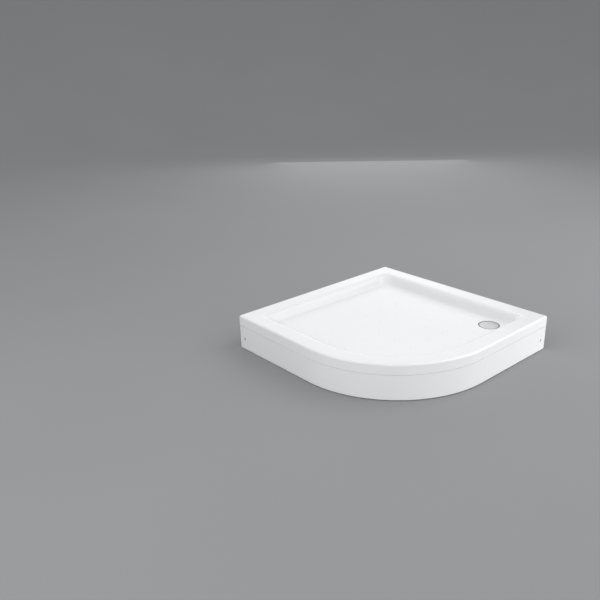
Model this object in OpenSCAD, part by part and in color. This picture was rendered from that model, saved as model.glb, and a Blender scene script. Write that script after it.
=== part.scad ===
// Quadrant shower tray on adjustable feet, with a removable front panel and a waste trap.
// Millimetres, +Z up. The origin is on the floor, under the middle of the tray's square outline.
// The walls are at -X and +Y, and the rounded corner faces +X and -Y.

/* [Tray] */
// Length of each wall side
tray_side = 900; // [860:10:1000]
// Height of the rim above the floor
tray_height = 148; // [146:1:160]
// Radius of the rounded front corner, at the apron
front_radius = 465; // [440:5:500]
// Width of the flat rim
rim_width = 57; // [54:1:70]
// Height of the apron that turns down from the rim
apron_height = 43; // [40:1:46]
// Radius of the edge between the rim and the front apron
rim_edge_radius = 9; // [8:0.5:12]
// Thickness of the acrylic shell
shell_thickness = 4; // [3:0.5:5]
// Least thickness of the glass-fibre layer under the shell
fibre_thickness = 3; // [2:0.5:4]

/* [Basin] */
// Depth of the basin at the waste
basin_depth = 40; // [36:1:42]
// Width of the sloping basin wall, seen from above
wall_run = 50; // [46:1:60]
// Radius of the rounded edge between the rim and the basin wall
lip_radius = 34; // [24:1:36]
// Radius of the hollow between the basin wall and its floor
foot_radius = 12; // [8:1:14]
// Radius of the basin's back corner at the rim
back_corner_rim_radius = 26; // [20:1:40]
// Radius of the basin's back corner at the floor
back_corner_floor_radius = 60; // [40:5:80]
// Radius of the basin's two side corners at the rim
side_corner_rim_radius = 14; // [10:1:30]
// Radius of the basin's two side corners at the floor
side_corner_floor_radius = 28; // [20:1:40]
// Fall of the floor towards the waste, in millimetres per metre
floor_fall = 5; // [2:1:8]

/* [Foot grip] */
// Distance between the columns of low bumps on the floor
bump_pitch_x = 84.7; // [70:0.1:110]
// Distance between the rows of low bumps on the floor
bump_pitch_y = 95.7; // [80:0.1:120]
// Radius of a bump at its foot
bump_radius = 8; // [5:0.5:12]
// Height of a bump
bump_height = 0.8; // [0.4:0.1:1.5]

/* [Waste] */
// Distance of the waste from the back wall and from the open side
waste_inset = 164; // [158:1:200]
// Diameter of the round recess in the floor
recess_diameter = 88; // [84:1:100]
// Depth of that recess
recess_depth = 12; // [10:1:13]
// Gap between the lift-off cover and the wall of the recess
cover_gap = 2.5; // [2:0.5:5]
// Thickness of the cover at its edge
cover_thickness = 2; // [1.5:0.5:3]
// How far the middle of the cover stands above its edge
cover_crown = 0.8; // [0.4:0.1:1.5]
// Width of the seat round the waste hole that the gaskets press on
gasket_seat = 5; // [4:0.5:6]
// How far the centre of the outlet lies below the top of the trap
outlet_drop = 30; // [28:1:32]
// Outer diameter of the outlet pipe
outlet_diameter = 40; // [38:1:42]

/* [Support] */
// Thickness of the board under the basin floor
board_thickness = 12; // [10:1:15]
// Height of the steel rails
rail_height = 20; // [18:1:22]
// Width of the steel rails
rail_width = 30; // [25:1:35]
// Wall thickness of the steel rails
rail_wall = 1.5; // [1.2:0.1:2]
// Distance of the left feet from the wall side
foot_inset = 90; // [80:5:110]
// Distance of the middle rail behind the tray's centre
middle_rail_y = 60; // [40:5:80]
// Diameter of the foot pads
pad_diameter = 60; // [50:1:70]
// Height of the foot pads
pad_height = 16; // [14:1:18]
// Diameter of the threaded foot studs
stud_diameter = 12; // [10:1:12]
// How far a foot can be screwed out of its rail
foot_down = 15; // [10:1:15]
// Width of the battens under the rim
batten_width = 40; // [34:1:42]
// Height of the battens under the rim
batten_height = 20; // [16:1:24]

/* [Front panel] */
// Thickness of the front panel
panel_thickness = 4; // [3:0.5:5]
// Gap between the apron and the panel
panel_gap = 1; // [0.5:0.5:3]
// Gap between the panel and the floor
panel_floor_gap = 1.5; // [1:0.5:5]
// Width of the flange that turns in along the panel's top
panel_flange = 16; // [12:1:18]
// Distance of the panel's end screws from the wall ends
panel_screw_inset = 30; // [26:1:34]
// Height of the panel's end screws above the floor
panel_screw_height = 49; // [40:1:60]
// Diameter of the caps over the panel's end screws
cap_diameter = 13; // [11:0.5:15]

/* [Hidden] */
$fn = 64;

// Clearances
running_gap = 0.05;
loose_gap = 0.3;
overshoot = 1;

// Plan of the tray
half = tray_side / 2;
arc_centre = [half - front_radius, front_radius - half];
front_steps = 36;
corner_steps = 6;
edge_overlap = 3;
edge_band = rim_edge_radius + 2 * edge_overlap;
lip_steps = 7;
foot_steps = 4;

// Levels
apron_bottom = tray_height - apron_height;
floor_low = tray_height - basin_depth;
fibre_bottom = floor_low - shell_thickness - fibre_thickness;
board_bottom = fibre_bottom - board_thickness;
rail_bottom = board_bottom - rail_height;
rim_underside = tray_height - shell_thickness - fibre_thickness;
batten_bottom = rim_underside - batten_height;
panel_top = apron_bottom - panel_gap;

// Slope of the basin wall, tangent to the lip and to the hollow at its foot
fillet_sum = lip_radius + foot_radius;
wall_angle = atan2(wall_run, fillet_sum - basin_depth)
    - acos(fillet_sum / norm([wall_run, fillet_sum - basin_depth]));

// Waste
waste = [half - waste_inset, half - waste_inset];
recess_floor = floor_low - recess_depth;
recess_radius = recess_diameter / 2;
waste_hole_radius = recess_radius - gasket_seat;
gasket_thickness = 2;
flange_edge_gap = 1;
flange_thickness = 2.5;
flange_bottom = recess_floor + gasket_thickness;
flange_top = flange_bottom + flange_thickness;
waste_screw_radius = 2.5;
waste_screw_length = 20;
waste_screw_edge = 4;
waste_screw_circle = waste_hole_radius - waste_screw_edge;
waste_head_radius = 4.5;
waste_head_height = 1.5;
waste_screw_angles = [30, 150, 270];
cover_leg_angles = [90, 210, 330];
cover_leg_radius = 3;

// Trap and its dip tube
trap_top = recess_floor - shell_thickness - gasket_thickness;
trap_bottom = 14;
trap_wall = 2.5;
trap_radius = waste_hole_radius + 2;
trap_flange_radius = recess_radius + 6;
trap_flange_thickness = 4;
screw_boss_radius = trap_radius - waste_screw_circle + trap_wall / 4;
screw_boss_end = 4;
lip_width = 4;
lip_height = 2;
lip_gap = 3.5;
dip_radius = waste_screw_circle - waste_head_radius - lip_gap - lip_width;
dip_wall = 2.5;
dip_bottom = trap_bottom + trap_wall + 8;
collar_wall = 2;
collar_length = 22;
seal_groove_height = 3.2;
seal_groove_depth = 1.6;
seal_groove_bottom = flange_top - collar_length / 2;
grip_bar_width = 5;
grip_bar_height = 4;

// Outlet
pipe_radius = outlet_diameter / 2;
pipe_wall = 2;
outlet_height = trap_top - outlet_drop;
socket_wall = 3;
socket_radius = pipe_radius + loose_gap + socket_wall;
socket_start = waste[1] + trap_radius - 1;
socket_end = socket_start + 38;
pipe_start = socket_start + 16;
pipe_end = half - 4;
seal_length = 5;
nut_length = 26;
nut_wall = 6;
nut_lip = 3;
nut_end = socket_end + seal_length + nut_lip;
nut_grips = 12;
nut_grip_width = 4;
nut_grip_depth = 1.5;
mark_width = 1;
mark_depth = 0.4;

// Board and its screws
board_margin = 12;
board_inset = rim_width + wall_run + board_margin;
board_back_chamfer = 40;
board_side_chamfer = 16;
notch_margin = trap_flange_radius + 18;
screw_radius = 2.25;
screw_head_radius = 4.5;
screw_head_height = 2.5;
screw_point_gap = 3;
rail_screw_places = [0.22, 0.5, 0.78];

// Rails and feet
rail_back_y = half - board_inset - rail_width;
rail_front_y = -rail_back_y;
rail_overhang = 35;
foot_left_x = foot_inset - half;
foot_trap_gap = 71;
foot_right_x = [
    waste[0] - trap_flange_radius - foot_trap_gap,
    half - foot_inset,
    side_x(rail_front_y, foot_inset)
];
rail_y = [rail_back_y, middle_rail_y, rail_front_y];
feet = [for (i = [0 : 2]) each [[foot_left_x, rail_y[i]], [foot_right_x[i], rail_y[i]]]];
stud_radius = stud_diameter / 2;
stud_hold = 10;
stud_top = rail_bottom + foot_down + stud_hold;
stud_neck_radius = stud_radius - 1;
stud_socket_depth = 8;
collar_height = 6;
spanner_width = 17;
nut_width = 18;
weld_nut_height = 10;
lock_nut_height = 6;
stud_relief = 1;
pad_rim_height = 4;
pad_neck_radius = 13;

// Battens
batten_inset = shell_thickness + fibre_thickness + 3;

// Front panel, its clips and its end fixings
panel_end_gap = 0.5;
clip_sheet = 1.5;
clip_width = 24;
clip_strap_inset = panel_flange + 4;
clip_plate = 24;
clip_angles = [15, 45, 75];
clip_side_y = 220;
clip_screw_length = 14;
boss_radius = cap_diameter / 2 + 4;
boss_depth = 5;
boss_web = 4;
bracket_sheet = 2;
bracket_width = 30;
bracket_foot = 30;
bracket_bottom = panel_screw_height - 18;
panel_screw_radius = 2.5;
panel_screw_length = 16;
panel_head_radius = 4.3;
panel_head_height = 2.6;
cap_disc = 1.6;
cap_recess = 0.3;
cap_skirt_wall = 1.4;

// x of the tray's open side at y, moved in from the outer face
function side_x(y, inset) =
    y >= arc_centre[1] ? half - inset
    : arc_centre[0] + sqrt(pow(front_radius - inset, 2) - pow(y - arc_centre[1], 2));

// How far the floor has risen at a point, on its way up from the waste
function rise(p, fall) = fall / 1000 * norm([p[0] - waste[0], p[1] - waste[1]]);

// A quarter circle of points, anticlockwise from an angle
function quarter(centre, r, from, steps) =
    [for (i = [0 : steps]) centre + r * [cos(from + 90 * i / steps), sin(from + 90 * i / steps)]];

// Plan of the basin at one level, anticlockwise
function basin_ring(inset, back_r, side_r) =
    let (h = half - inset)
    concat(
        quarter(arc_centre, front_radius - inset, 270, front_steps),
        quarter([h - side_r, h - side_r], side_r, 0, corner_steps),
        quarter([back_r - h, h - back_r], back_r, 90, corner_steps),
        quarter([side_r - h, side_r - h], side_r, 180, corner_steps)
    );

// Section of the basin wall, from the rim down: each entry is inset, level and steepness
function wall_section() = concat(
    [for (i = [0 : lip_steps])
        let (a = wall_angle * i / lip_steps)
        [rim_width + lip_radius * sin(a), tray_height - lip_radius * (1 - cos(a)), a]],
    [for (i = [0 : foot_steps])
        let (a = wall_angle * (1 - i / foot_steps))
        [rim_width + wall_run - foot_radius * sin(a), floor_low + foot_radius * (1 - cos(a)), a]]
);

function between(a, b, share) = a + (b - a) * share;

// One level of the basin, t below the surface
function basin_level(s, t, fall) =
    let (
        share = (s[0] - rim_width) / wall_run,
        out = t * sin(s[2]),
        back_r = between(back_corner_rim_radius, back_corner_floor_radius, share) + out,
        side_r = between(side_corner_rim_radius, side_corner_floor_radius, share) + out,
        down = (tray_height - s[1]) / basin_depth
    )
    [for (p = basin_ring(s[0] - out, back_r, side_r))
        [p[0], p[1], s[1] - t * cos(s[2]) + down * rise(p, fall)]];

// The space of the basin, with its surface moved t outwards
module basin_space(t, fall) {
    levels = [for (s = wall_section()) basin_level(s, t, fall)];
    mouth = [for (p = levels[0]) [p[0], p[1], tray_height + overshoot]];
    rings = concat([mouth], levels);
    n = len(mouth);
    last = len(rings) - 1;
    lowest = n * len(rings);
    points = concat([for (r = rings) each r], [[waste[0], waste[1], floor_low - t]]);
    sides = [for (k = [0 : last - 1]) for (j = [0 : n - 1])
        let (a = k * n + j, b = k * n + (j + 1) % n)
        each [[a, b, b + n], [a, b + n, a + n]]];
    lid = [[for (j = [n - 1 : -1 : 0]) j]];
    base = [for (j = [0 : n - 1]) [last * n + j, last * n + (j + 1) % n, lowest]];
    polyhedron(points = points, faces = concat(lid, sides, base));
}

// Puts something made for the open side there (0), or mirrors it to the front side (1)
module on_side(side) {
    rotate([0, 0, -90 * side])
        mirror([0, side, 0])
            children();
}

// Sweeps a section along the open side, the rounded corner and the front side
// In the section, x is 0 at the outer face and y is the height
module along_front(end_gap = 0) {
    side_length = half - end_gap - arc_centre[1];
    for (side = [0, 1])
        on_side(side)
            translate([half, arc_centre[1], 0])
                rotate([90, 0, 0])
                    mirror([0, 0, 1])
                        linear_extrude(side_length)
                            children();
    translate([arc_centre[0], arc_centre[1], 0])
        rotate([0, 0, -90])
            rotate_extrude(angle = 90, $fn = 180)
                translate([front_radius, 0])
                    children();
}

// Section of the tray's rounded front edge, t below the surface
module edge_section(t, bottom) {
    r = rim_edge_radius - t;
    top = tray_height - t;
    translate([-edge_band, bottom])
        square([edge_band - t - r, top - bottom]);
    translate([-edge_band, bottom])
        square([edge_band - t, top - r - bottom]);
    translate([-t - r, top - r])
        circle(r);
}

// The tray as one solid, t below its surface, open at the basin
module tray_solid(t, fall, bottom) {
    difference() {
        union() {
            along_front(t)
                edge_section(t, bottom);
            translate([0, 0, bottom])
                plate(t, rim_edge_radius + edge_overlap, tray_height - t - bottom);
        }
        basin_space(t, fall);
    }
}

// Whether a bump at a point keeps clear of the basin's wall and of the waste
function bump_fits(p) =
    let (inset = rim_width + wall_run + bump_radius / 2, h = half - inset)
    abs(p[0]) <= h && abs(p[1]) <= h
    && (p[1] >= arc_centre[1] || p[0] <= side_x(p[1], inset))
    && norm(p - waste) > recess_radius + 2 * bump_radius
    && norm(p - [-h, h]) > back_corner_floor_radius / 2;

module bumps() {
    columns = 7;
    middle = [36, -10];
    for (i = [0 : columns - 1])
        for (j = [0 : columns - 1]) {
            p = middle + [(i - 3) * bump_pitch_x, (j - 3) * bump_pitch_y];
            if (bump_fits(p))
                translate([p[0], p[1], floor_low + rise(p, floor_fall) - overshoot])
                    cylinder(h = overshoot + bump_height, r1 = bump_radius, r2 = bump_radius / 3, $fn = 32);
        }
}

module at_waste(z) {
    translate([waste[0], waste[1], z])
        children();
}

module ring(outer, inner, height) {
    difference() {
        cylinder(h = height, r = outer);
        translate([0, 0, -overshoot])
            cylinder(h = height + 2 * overshoot, r = inner);
    }
}

module tray_shell() {
    color("white")
        difference() {
            union() {
                difference() {
                    tray_solid(0, floor_fall, apron_bottom);
                    tray_solid(shell_thickness, floor_fall, apron_bottom - overshoot);
                }
                at_waste(recess_floor - shell_thickness)
                    cylinder(
                        h = recess_depth + shell_thickness - overshoot,
                        r = recess_radius + shell_thickness
                    );
                bumps();
            }
            at_waste(recess_floor)
                cylinder(h = recess_depth + 2 * overshoot, r = recess_radius);
            at_waste(recess_floor - shell_thickness - overshoot)
                cylinder(h = shell_thickness + 2 * overshoot, r = waste_hole_radius);
        }
}

module glass_fibre_layer() {
    trim = apron_bottom + apron_height / 2;
    trim_band = 30;
    waste_clearance = 3;
    color("khaki")
        difference() {
            tray_solid(shell_thickness, floor_fall, fibre_bottom - overshoot);
            tray_solid(shell_thickness + fibre_thickness, 0, fibre_bottom - 2 * overshoot);
            at_waste(fibre_bottom - overshoot)
                cylinder(
                    h = recess_depth + 2 * overshoot,
                    r = recess_radius + shell_thickness + waste_clearance
                );
            difference() {
                translate([-half, -half, fibre_bottom - 3 * overshoot])
                    cube([tray_side, tray_side, trim - fibre_bottom + 3 * overshoot]);
                translate([0, 0, fibre_bottom - 4 * overshoot])
                    plate(trim_band, trim_band, trim - fibre_bottom + 5 * overshoot);
            }
        }
}

// A flat plate with the tray's outline, moved in from the two walls and from the open sides
module plate(wall_inset, front_inset, height) {
    to_wall = tray_side - front_radius - wall_inset;
    to_front = front_radius - front_inset;
    translate([arc_centre[0], arc_centre[1], 0]) {
        rotate([0, 0, -90])
            rotate_extrude(angle = 90, $fn = 180)
                square([to_front, height]);
        cube([to_front, to_wall, height]);
        rotate([0, 0, 90])
            cube([to_wall, to_wall, height]);
        rotate([0, 0, 180])
            cube([to_wall, to_front, height]);
    }
}

// A triangular prism that cuts a corner off a board, pointing away from the corner
module corner_cut(size, height) {
    linear_extrude(height)
        polygon([[-overshoot, -overshoot], [size, -overshoot], [-overshoot, size]]);
}

module base_board() {
    h = half - board_inset;
    cut_height = board_thickness + 2 * overshoot;
    color("burlywood")
        difference() {
            translate([0, 0, board_bottom])
                plate(board_inset, board_inset, board_thickness);
            translate([-h, h, board_bottom - overshoot])
                rotate([0, 0, -90])
                    corner_cut(board_back_chamfer, cut_height);
            translate([-h, -h, board_bottom - overshoot])
                corner_cut(board_side_chamfer, cut_height);
            translate([waste[0] - notch_margin, waste[1] - notch_margin, board_bottom - overshoot])
                cube([half, half, cut_height]);
            for (p = feet)
                translate([p[0], p[1], board_bottom - overshoot])
                    cylinder(h = cut_height, r = stud_radius + stud_relief);
            for (i = [0 : 2])
                rail_screw_holes(i);
        }
}

// Left end, length and right end of a rail
function rail_start() = foot_left_x - rail_overhang;
function rail_length(i) = foot_right_x[i] + rail_overhang - rail_start();
function rail_screw_x(i, share) = rail_start() + rail_length(i) * share;

module rail_screw_holes(i) {
    depth = rail_height + board_thickness - screw_point_gap;
    for (share = rail_screw_places)
        translate([rail_screw_x(i, share), rail_y[i], rail_bottom - overshoot])
            cylinder(h = depth + overshoot, r = screw_radius + running_gap, $fn = 24);
}

module rail(i) {
    length = rail_length(i);
    color("silver")
        difference() {
            translate([rail_start(), rail_y[i] - rail_width / 2, rail_bottom])
                difference() {
                    cube([length, rail_width, rail_height]);
                    translate([-overshoot, rail_wall, rail_wall])
                        cube([
                            length + 2 * overshoot,
                            rail_width - 2 * rail_wall,
                            rail_height - 2 * rail_wall
                        ]);
                }
            for (j = [0, 1])
                translate([feet[2 * i + j][0], feet[2 * i + j][1], rail_bottom - overshoot])
                    cylinder(h = rail_height + 2 * overshoot, r = stud_radius + stud_relief);
            rail_screw_holes(i);
        }
}

module rail_back() { rail(0); }
module rail_middle() { rail(1); }
module rail_front() { rail(2); }

// A pan-head screw with its point up and the underside of its head at z = 0
module screw_up(length, r, head_r, head_h) {
    cylinder(h = length, r = r, $fn = 24);
    translate([0, 0, -head_h])
        cylinder(h = head_h, r = head_r, $fn = 24);
}

module rail_screws() {
    color("dimgray")
        for (i = [0 : 2])
            for (share = rail_screw_places)
                translate([rail_screw_x(i, share), rail_y[i], rail_bottom])
                    screw_up(
                        rail_height + board_thickness - screw_point_gap - running_gap,
                        screw_radius, screw_head_radius, screw_head_height
                    );
}

module hexagon(width, height) {
    cylinder(h = height, r = width / sqrt(3), $fn = 6);
}

module nuts(z, height) {
    color("gray")
        for (p = feet)
            translate([p[0], p[1], z])
                difference() {
                    hexagon(nut_width, height);
                    translate([0, 0, -overshoot])
                        cylinder(h = height + 2 * overshoot, r = stud_radius + running_gap);
                }
}

module weld_nuts() { nuts(rail_bottom - weld_nut_height, weld_nut_height); }
module lock_nuts() { nuts(rail_bottom - weld_nut_height - lock_nut_height, lock_nut_height); }

// A foot's stud, with the hexagon that a spanner turns and a neck that turns in the pad
module foot_stud(i) {
    color("gray")
        translate([feet[i][0], feet[i][1], 0]) {
            translate([0, 0, pad_height - stud_socket_depth])
                cylinder(h = stud_socket_depth + overshoot, r = stud_neck_radius);
            translate([0, 0, pad_height])
                hexagon(spanner_width, collar_height);
            translate([0, 0, pad_height + collar_height - overshoot])
                cylinder(h = stud_top - pad_height - collar_height + overshoot, r = stud_radius);
        }
}

module foot_pad(i) {
    r = pad_diameter / 2;
    socket_r = stud_neck_radius + running_gap;
    socket_z = pad_height - stud_socket_depth;
    cone_top = pad_height - pad_rim_height;
    color("darkslategray")
        translate([feet[i][0], feet[i][1], 0])
            rotate_extrude()
                polygon([
                    [0, 0], [r, 0], [r, pad_rim_height],
                    [pad_neck_radius, cone_top], [pad_neck_radius, pad_height],
                    [socket_r, pad_height], [socket_r, socket_z], [0, socket_z]
                ]);
}

// Gives a batten its colour and the pilot holes for the screws of the clips and brackets
module drilled_batten() {
    color("peru")
        difference() {
            children();
            at_clip_screws(batten_bottom - overshoot)
                pilot_hole();
            at_bracket_screws(batten_bottom - overshoot)
                pilot_hole();
        }
}

module pilot_hole() {
    cylinder(h = clip_screw_length, r = screw_radius + running_gap, $fn = 24);
}

// A straight batten under the rim, given by two opposite corners
module batten(from, to) {
    drilled_batten()
        translate([from[0], from[1], batten_bottom])
            cube([to[0] - from[0], to[1] - from[1], batten_height]);
}

batten_outer = half - batten_inset;
batten_inner = batten_outer - batten_width;

module rim_batten_back() { batten([-batten_outer, batten_inner], [batten_outer, batten_outer]); }
module rim_batten_left() { batten([-batten_outer, -batten_outer], [-batten_inner, batten_inner]); }
module rim_batten_right() { batten([batten_inner, arc_centre[1]], [batten_outer, batten_inner]); }
module rim_batten_front() { batten([-batten_inner, -batten_outer], [arc_centre[0], -batten_inner]); }

module rim_batten_curve() {
    drilled_batten()
        translate([arc_centre[0], arc_centre[1], batten_bottom])
            rotate([0, 0, -90])
                rotate_extrude(angle = 90, $fn = 180)
                    translate([front_radius - batten_inset - batten_width, 0])
                        square([batten_width, batten_height]);
}

// Round plate, slightly crowned, on three legs that stand on the flange
module drain_cover() {
    r = recess_radius - cover_gap;
    leg_top = floor_low - cover_crown - cover_thickness;
    crown_steps = 8;
    crown = [for (i = [0 : crown_steps])
        [r * (1 - i / crown_steps), floor_low - cover_crown * pow(1 - i / crown_steps, 2)]];
    color("lightgray")
        at_waste(0) {
            rotate_extrude($fn = 96)
                polygon(concat([[0, leg_top], [r, leg_top]], crown));
            for (a = cover_leg_angles)
                rotate([0, 0, a])
                    translate([waste_screw_circle, 0, flange_top])
                        cylinder(
                            h = leg_top - flange_top + cover_thickness / 2,
                            r = cover_leg_radius, $fn = 32
                        );
        }
}

// Places something on the circle of the flange screws, at a height
module at_waste_screws(z) {
    for (a = waste_screw_angles)
        rotate([0, 0, a])
            translate([waste_screw_circle, 0, z])
                children();
}

// Ring that clamps the tray to the trap, with the collar that holds the dip tube
module waste_flange() {
    outer = recess_radius - flange_edge_gap;
    bore = dip_radius + running_gap;
    color("gainsboro")
        at_waste(0)
            difference() {
                union() {
                    translate([0, 0, flange_bottom])
                        cylinder(h = flange_thickness, r = outer);
                    translate([0, 0, flange_top - collar_length])
                        cylinder(h = collar_length, r = bore + collar_wall);
                }
                translate([0, 0, flange_top - collar_length - overshoot])
                    cylinder(h = collar_length + 2 * overshoot, r = bore);
                at_waste_screws(flange_bottom - overshoot)
                    cylinder(
                        h = flange_thickness + 2 * overshoot,
                        r = waste_screw_radius + loose_gap, $fn = 32
                    );
            }
}

module upper_gasket() {
    color("dimgray")
        at_waste(recess_floor)
            ring(recess_radius - flange_edge_gap, waste_hole_radius, gasket_thickness);
}

module lower_gasket() {
    color("dimgray")
        at_waste(recess_floor - shell_thickness - gasket_thickness)
            ring(trap_flange_radius, waste_hole_radius, gasket_thickness);
}

module flange_screws() {
    color("silver")
        at_waste(0)
            at_waste_screws(flange_top) {
                cylinder(h = waste_head_height, r = waste_head_radius, $fn = 32);
                translate([0, 0, -waste_screw_length])
                    cylinder(
                        h = waste_screw_length + waste_head_height / 2,
                        r = waste_screw_radius, $fn = 32
                    );
            }
}

// Cup of the trap, with its clamping flange, three screw bosses and the outlet socket
module trap_body() {
    outlet_bore = pipe_radius - pipe_wall;
    boss_height = waste_screw_length + screw_boss_end;
    color("whitesmoke")
        difference() {
            union() {
                at_waste(trap_bottom)
                    cylinder(h = trap_top - trap_bottom, r = trap_radius + trap_wall);
                at_waste(trap_top - trap_flange_thickness)
                    cylinder(h = trap_flange_thickness, r = trap_flange_radius);
                translate([waste[0], socket_end, outlet_height])
                    rotate([90, 0, 0])
                        cylinder(h = socket_end - waste[1], r = socket_radius);
            }
            difference() {
                at_waste(trap_bottom + trap_wall)
                    cylinder(h = trap_top - trap_bottom, r = trap_radius);
                at_waste(0)
                    at_waste_screws(trap_top - boss_height)
                        cylinder(h = boss_height, r = screw_boss_radius, $fn = 32);
            }
            translate([waste[0], socket_end + overshoot, outlet_height])
                rotate([90, 0, 0])
                    cylinder(h = socket_end + overshoot - pipe_start, r = pipe_radius + loose_gap);
            translate([waste[0], pipe_start + overshoot, outlet_height])
                rotate([90, 0, 0])
                    cylinder(h = pipe_start + trap_wall + 2 * overshoot - socket_start, r = outlet_bore);
            at_waste(0)
                at_waste_screws(trap_top - waste_screw_length)
                    cylinder(
                        h = waste_screw_length + overshoot,
                        r = waste_screw_radius + running_gap, $fn = 32
                    );
        }
}

// Lift-out tube that makes the water seal, with a lip that rests on the flange and a grip bar
module dip_tube() {
    inner = dip_radius - dip_wall;
    color("lightsteelblue")
        at_waste(0)
            difference() {
                union() {
                    translate([0, 0, dip_bottom])
                        ring(dip_radius, inner, flange_top - dip_bottom + overshoot);
                    translate([0, 0, flange_top])
                        ring(dip_radius + lip_width, inner, lip_height);
                    translate([
                        -inner - overshoot,
                        -grip_bar_width / 2,
                        flange_top + lip_height - grip_bar_height
                    ])
                        cube([2 * inner + 2 * overshoot, grip_bar_width, grip_bar_height]);
                }
                translate([0, 0, seal_groove_bottom])
                    ring(dip_radius + overshoot, dip_radius - seal_groove_depth, seal_groove_height);
            }
}

module dip_tube_seal() {
    color("black")
        at_waste(seal_groove_bottom)
            ring(dip_radius, dip_radius - seal_groove_depth, seal_groove_height);
}

// Pipe with a mark, a shallow groove at the nut's end, that shows how deep it sits
module outlet_pipe() {
    color("whitesmoke")
        translate([waste[0], pipe_end, outlet_height])
            rotate([90, 0, 0])
                difference() {
                    ring(pipe_radius, pipe_radius - pipe_wall, pipe_end - pipe_start);
                    translate([0, 0, pipe_end - nut_end - mark_width])
                        ring(pipe_radius + overshoot, pipe_radius - mark_depth, mark_width);
                }
}

module outlet_seal() {
    color("black")
        translate([waste[0], socket_end + seal_length, outlet_height])
            rotate([90, 0, 0])
                ring(socket_radius, pipe_radius, seal_length);
}

module outlet_nut() {
    length = nut_length + nut_lip;
    outer = socket_radius + nut_wall;
    color("whitesmoke")
        translate([waste[0], nut_end, outlet_height])
            rotate([90, 0, 0])
                difference() {
                    union() {
                        cylinder(h = length, r = outer - nut_grip_depth);
                        for (k = [0 : nut_grips - 1])
                            rotate([0, 0, k * 360 / nut_grips])
                                translate([outer - 2 * nut_grip_depth, -nut_grip_width / 2, 0])
                                    cube([2 * nut_grip_depth, nut_grip_width, length]);
                    }
                    translate([0, 0, -overshoot])
                        cylinder(h = length + 2 * overshoot, r = pipe_radius + loose_gap);
                    translate([0, 0, nut_lip])
                        cylinder(h = length, r = socket_radius + running_gap);
                }
}

// Places something on the open side's outer face near its wall end: x is 0 at the face
module at_panel_screw(side) {
    on_side(side)
        translate([half, half - panel_screw_inset, panel_screw_height])
            rotate([0, 90, 0])
                children();
}

module front_panel() {
    back = panel_thickness + boss_depth;
    notch_width = panel_flange - panel_thickness + overshoot;
    color("white")
        difference() {
            union() {
                along_front(panel_end_gap)
                    panel_section();
                for (side = [0, 1])
                    at_panel_screw(side)
                        translate([0, 0, -back])
                            cylinder(h = boss_depth + overshoot, r = boss_radius);
            }
            for (side = [0, 1])
                at_panel_screw(side) {
                    translate([0, 0, boss_web - back])
                        cylinder(h = back, r = cap_diameter / 2 + running_gap);
                    translate([0, 0, -back - overshoot])
                        cylinder(h = back, r = panel_screw_radius + loose_gap, $fn = 32);
                }
            for (side = [0, 1])
                on_side(side)
                    translate([
                        half - panel_flange - overshoot,
                        half - panel_screw_inset - bracket_width / 2 - loose_gap,
                        panel_top - panel_thickness - overshoot
                    ])
                        cube([notch_width, half, panel_thickness + 2 * overshoot]);
        }
}

// The panel's upright wall with the flange along its top
module panel_section() {
    translate([-panel_thickness, panel_floor_gap])
        square([panel_thickness, panel_top - panel_floor_gap]);
    translate([-panel_flange, panel_top - panel_thickness])
        square([panel_flange, panel_thickness]);
}

// Strip that hangs from a batten and hooks under the panel's flange, at the outer face
module clip() {
    hook_top = panel_top - panel_thickness;
    hook_reach = clip_strap_inset - panel_thickness - 2;
    rotate([90, 0, 0])
        translate([0, 0, -clip_width / 2])
            linear_extrude(clip_width)
                polygon([
                    [-clip_strap_inset + hook_reach, hook_top],
                    [-clip_strap_inset, hook_top],
                    [-clip_strap_inset, batten_bottom],
                    [-clip_strap_inset - clip_plate, batten_bottom],
                    [-clip_strap_inset - clip_plate, batten_bottom - clip_sheet],
                    [-clip_strap_inset - clip_sheet, batten_bottom - clip_sheet],
                    [-clip_strap_inset - clip_sheet, hook_top - clip_sheet],
                    [-clip_strap_inset + hook_reach, hook_top - clip_sheet]
                ]);
}

// Places something at each clip: x is 0 at the outer face
module at_clips() {
    for (a = clip_angles)
        translate([arc_centre[0], arc_centre[1], 0])
            rotate([0, 0, -a])
                translate([front_radius, 0, 0])
                    children();
    for (side = [0, 1])
        on_side(side)
            translate([half, clip_side_y, 0])
                children();
}

module at_clip_screws(z) {
    at_clips()
        translate([-clip_strap_inset - clip_plate / 2 - 2, 0, z])
            children();
}

module panel_clips() {
    color("silver")
        difference() {
            at_clips()
                clip();
            at_clip_screws(batten_bottom - clip_sheet - overshoot)
                cylinder(h = clip_sheet + 2 * overshoot, r = screw_radius + running_gap, $fn = 24);
        }
}

module clip_screws() {
    color("dimgray")
        at_clip_screws(batten_bottom - clip_sheet)
            screw_up(clip_screw_length, screw_radius, screw_head_radius, screw_head_height);
}

module panel_bracket(side) {
    back = panel_thickness + boss_depth;
    start = half - panel_screw_inset - bracket_width / 2;
    color("silver")
        difference() {
            on_side(side) {
                translate([half - back - bracket_sheet, start, bracket_bottom])
                    cube([bracket_sheet, bracket_width, batten_bottom - bracket_bottom]);
                translate([half - back - bracket_foot, start, batten_bottom - bracket_sheet])
                    cube([bracket_foot, bracket_width, bracket_sheet]);
            }
            at_panel_screw(side)
                translate([0, 0, -bracket_foot])
                    cylinder(h = bracket_foot, r = panel_screw_radius + running_gap, $fn = 32);
            at_bracket_screws(batten_bottom - bracket_sheet - overshoot)
                cylinder(h = bracket_sheet + 2 * overshoot, r = screw_radius + running_gap, $fn = 24);
        }
}

module panel_bracket_right() { panel_bracket(0); }
module panel_bracket_left() { panel_bracket(1); }

// Places something under each bracket's foot, at a height
module at_bracket_screws(z) {
    back = panel_thickness + boss_depth;
    for (side = [0, 1])
        on_side(side)
            translate([half - back - bracket_foot / 2, half - panel_screw_inset, z])
                children();
}

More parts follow.
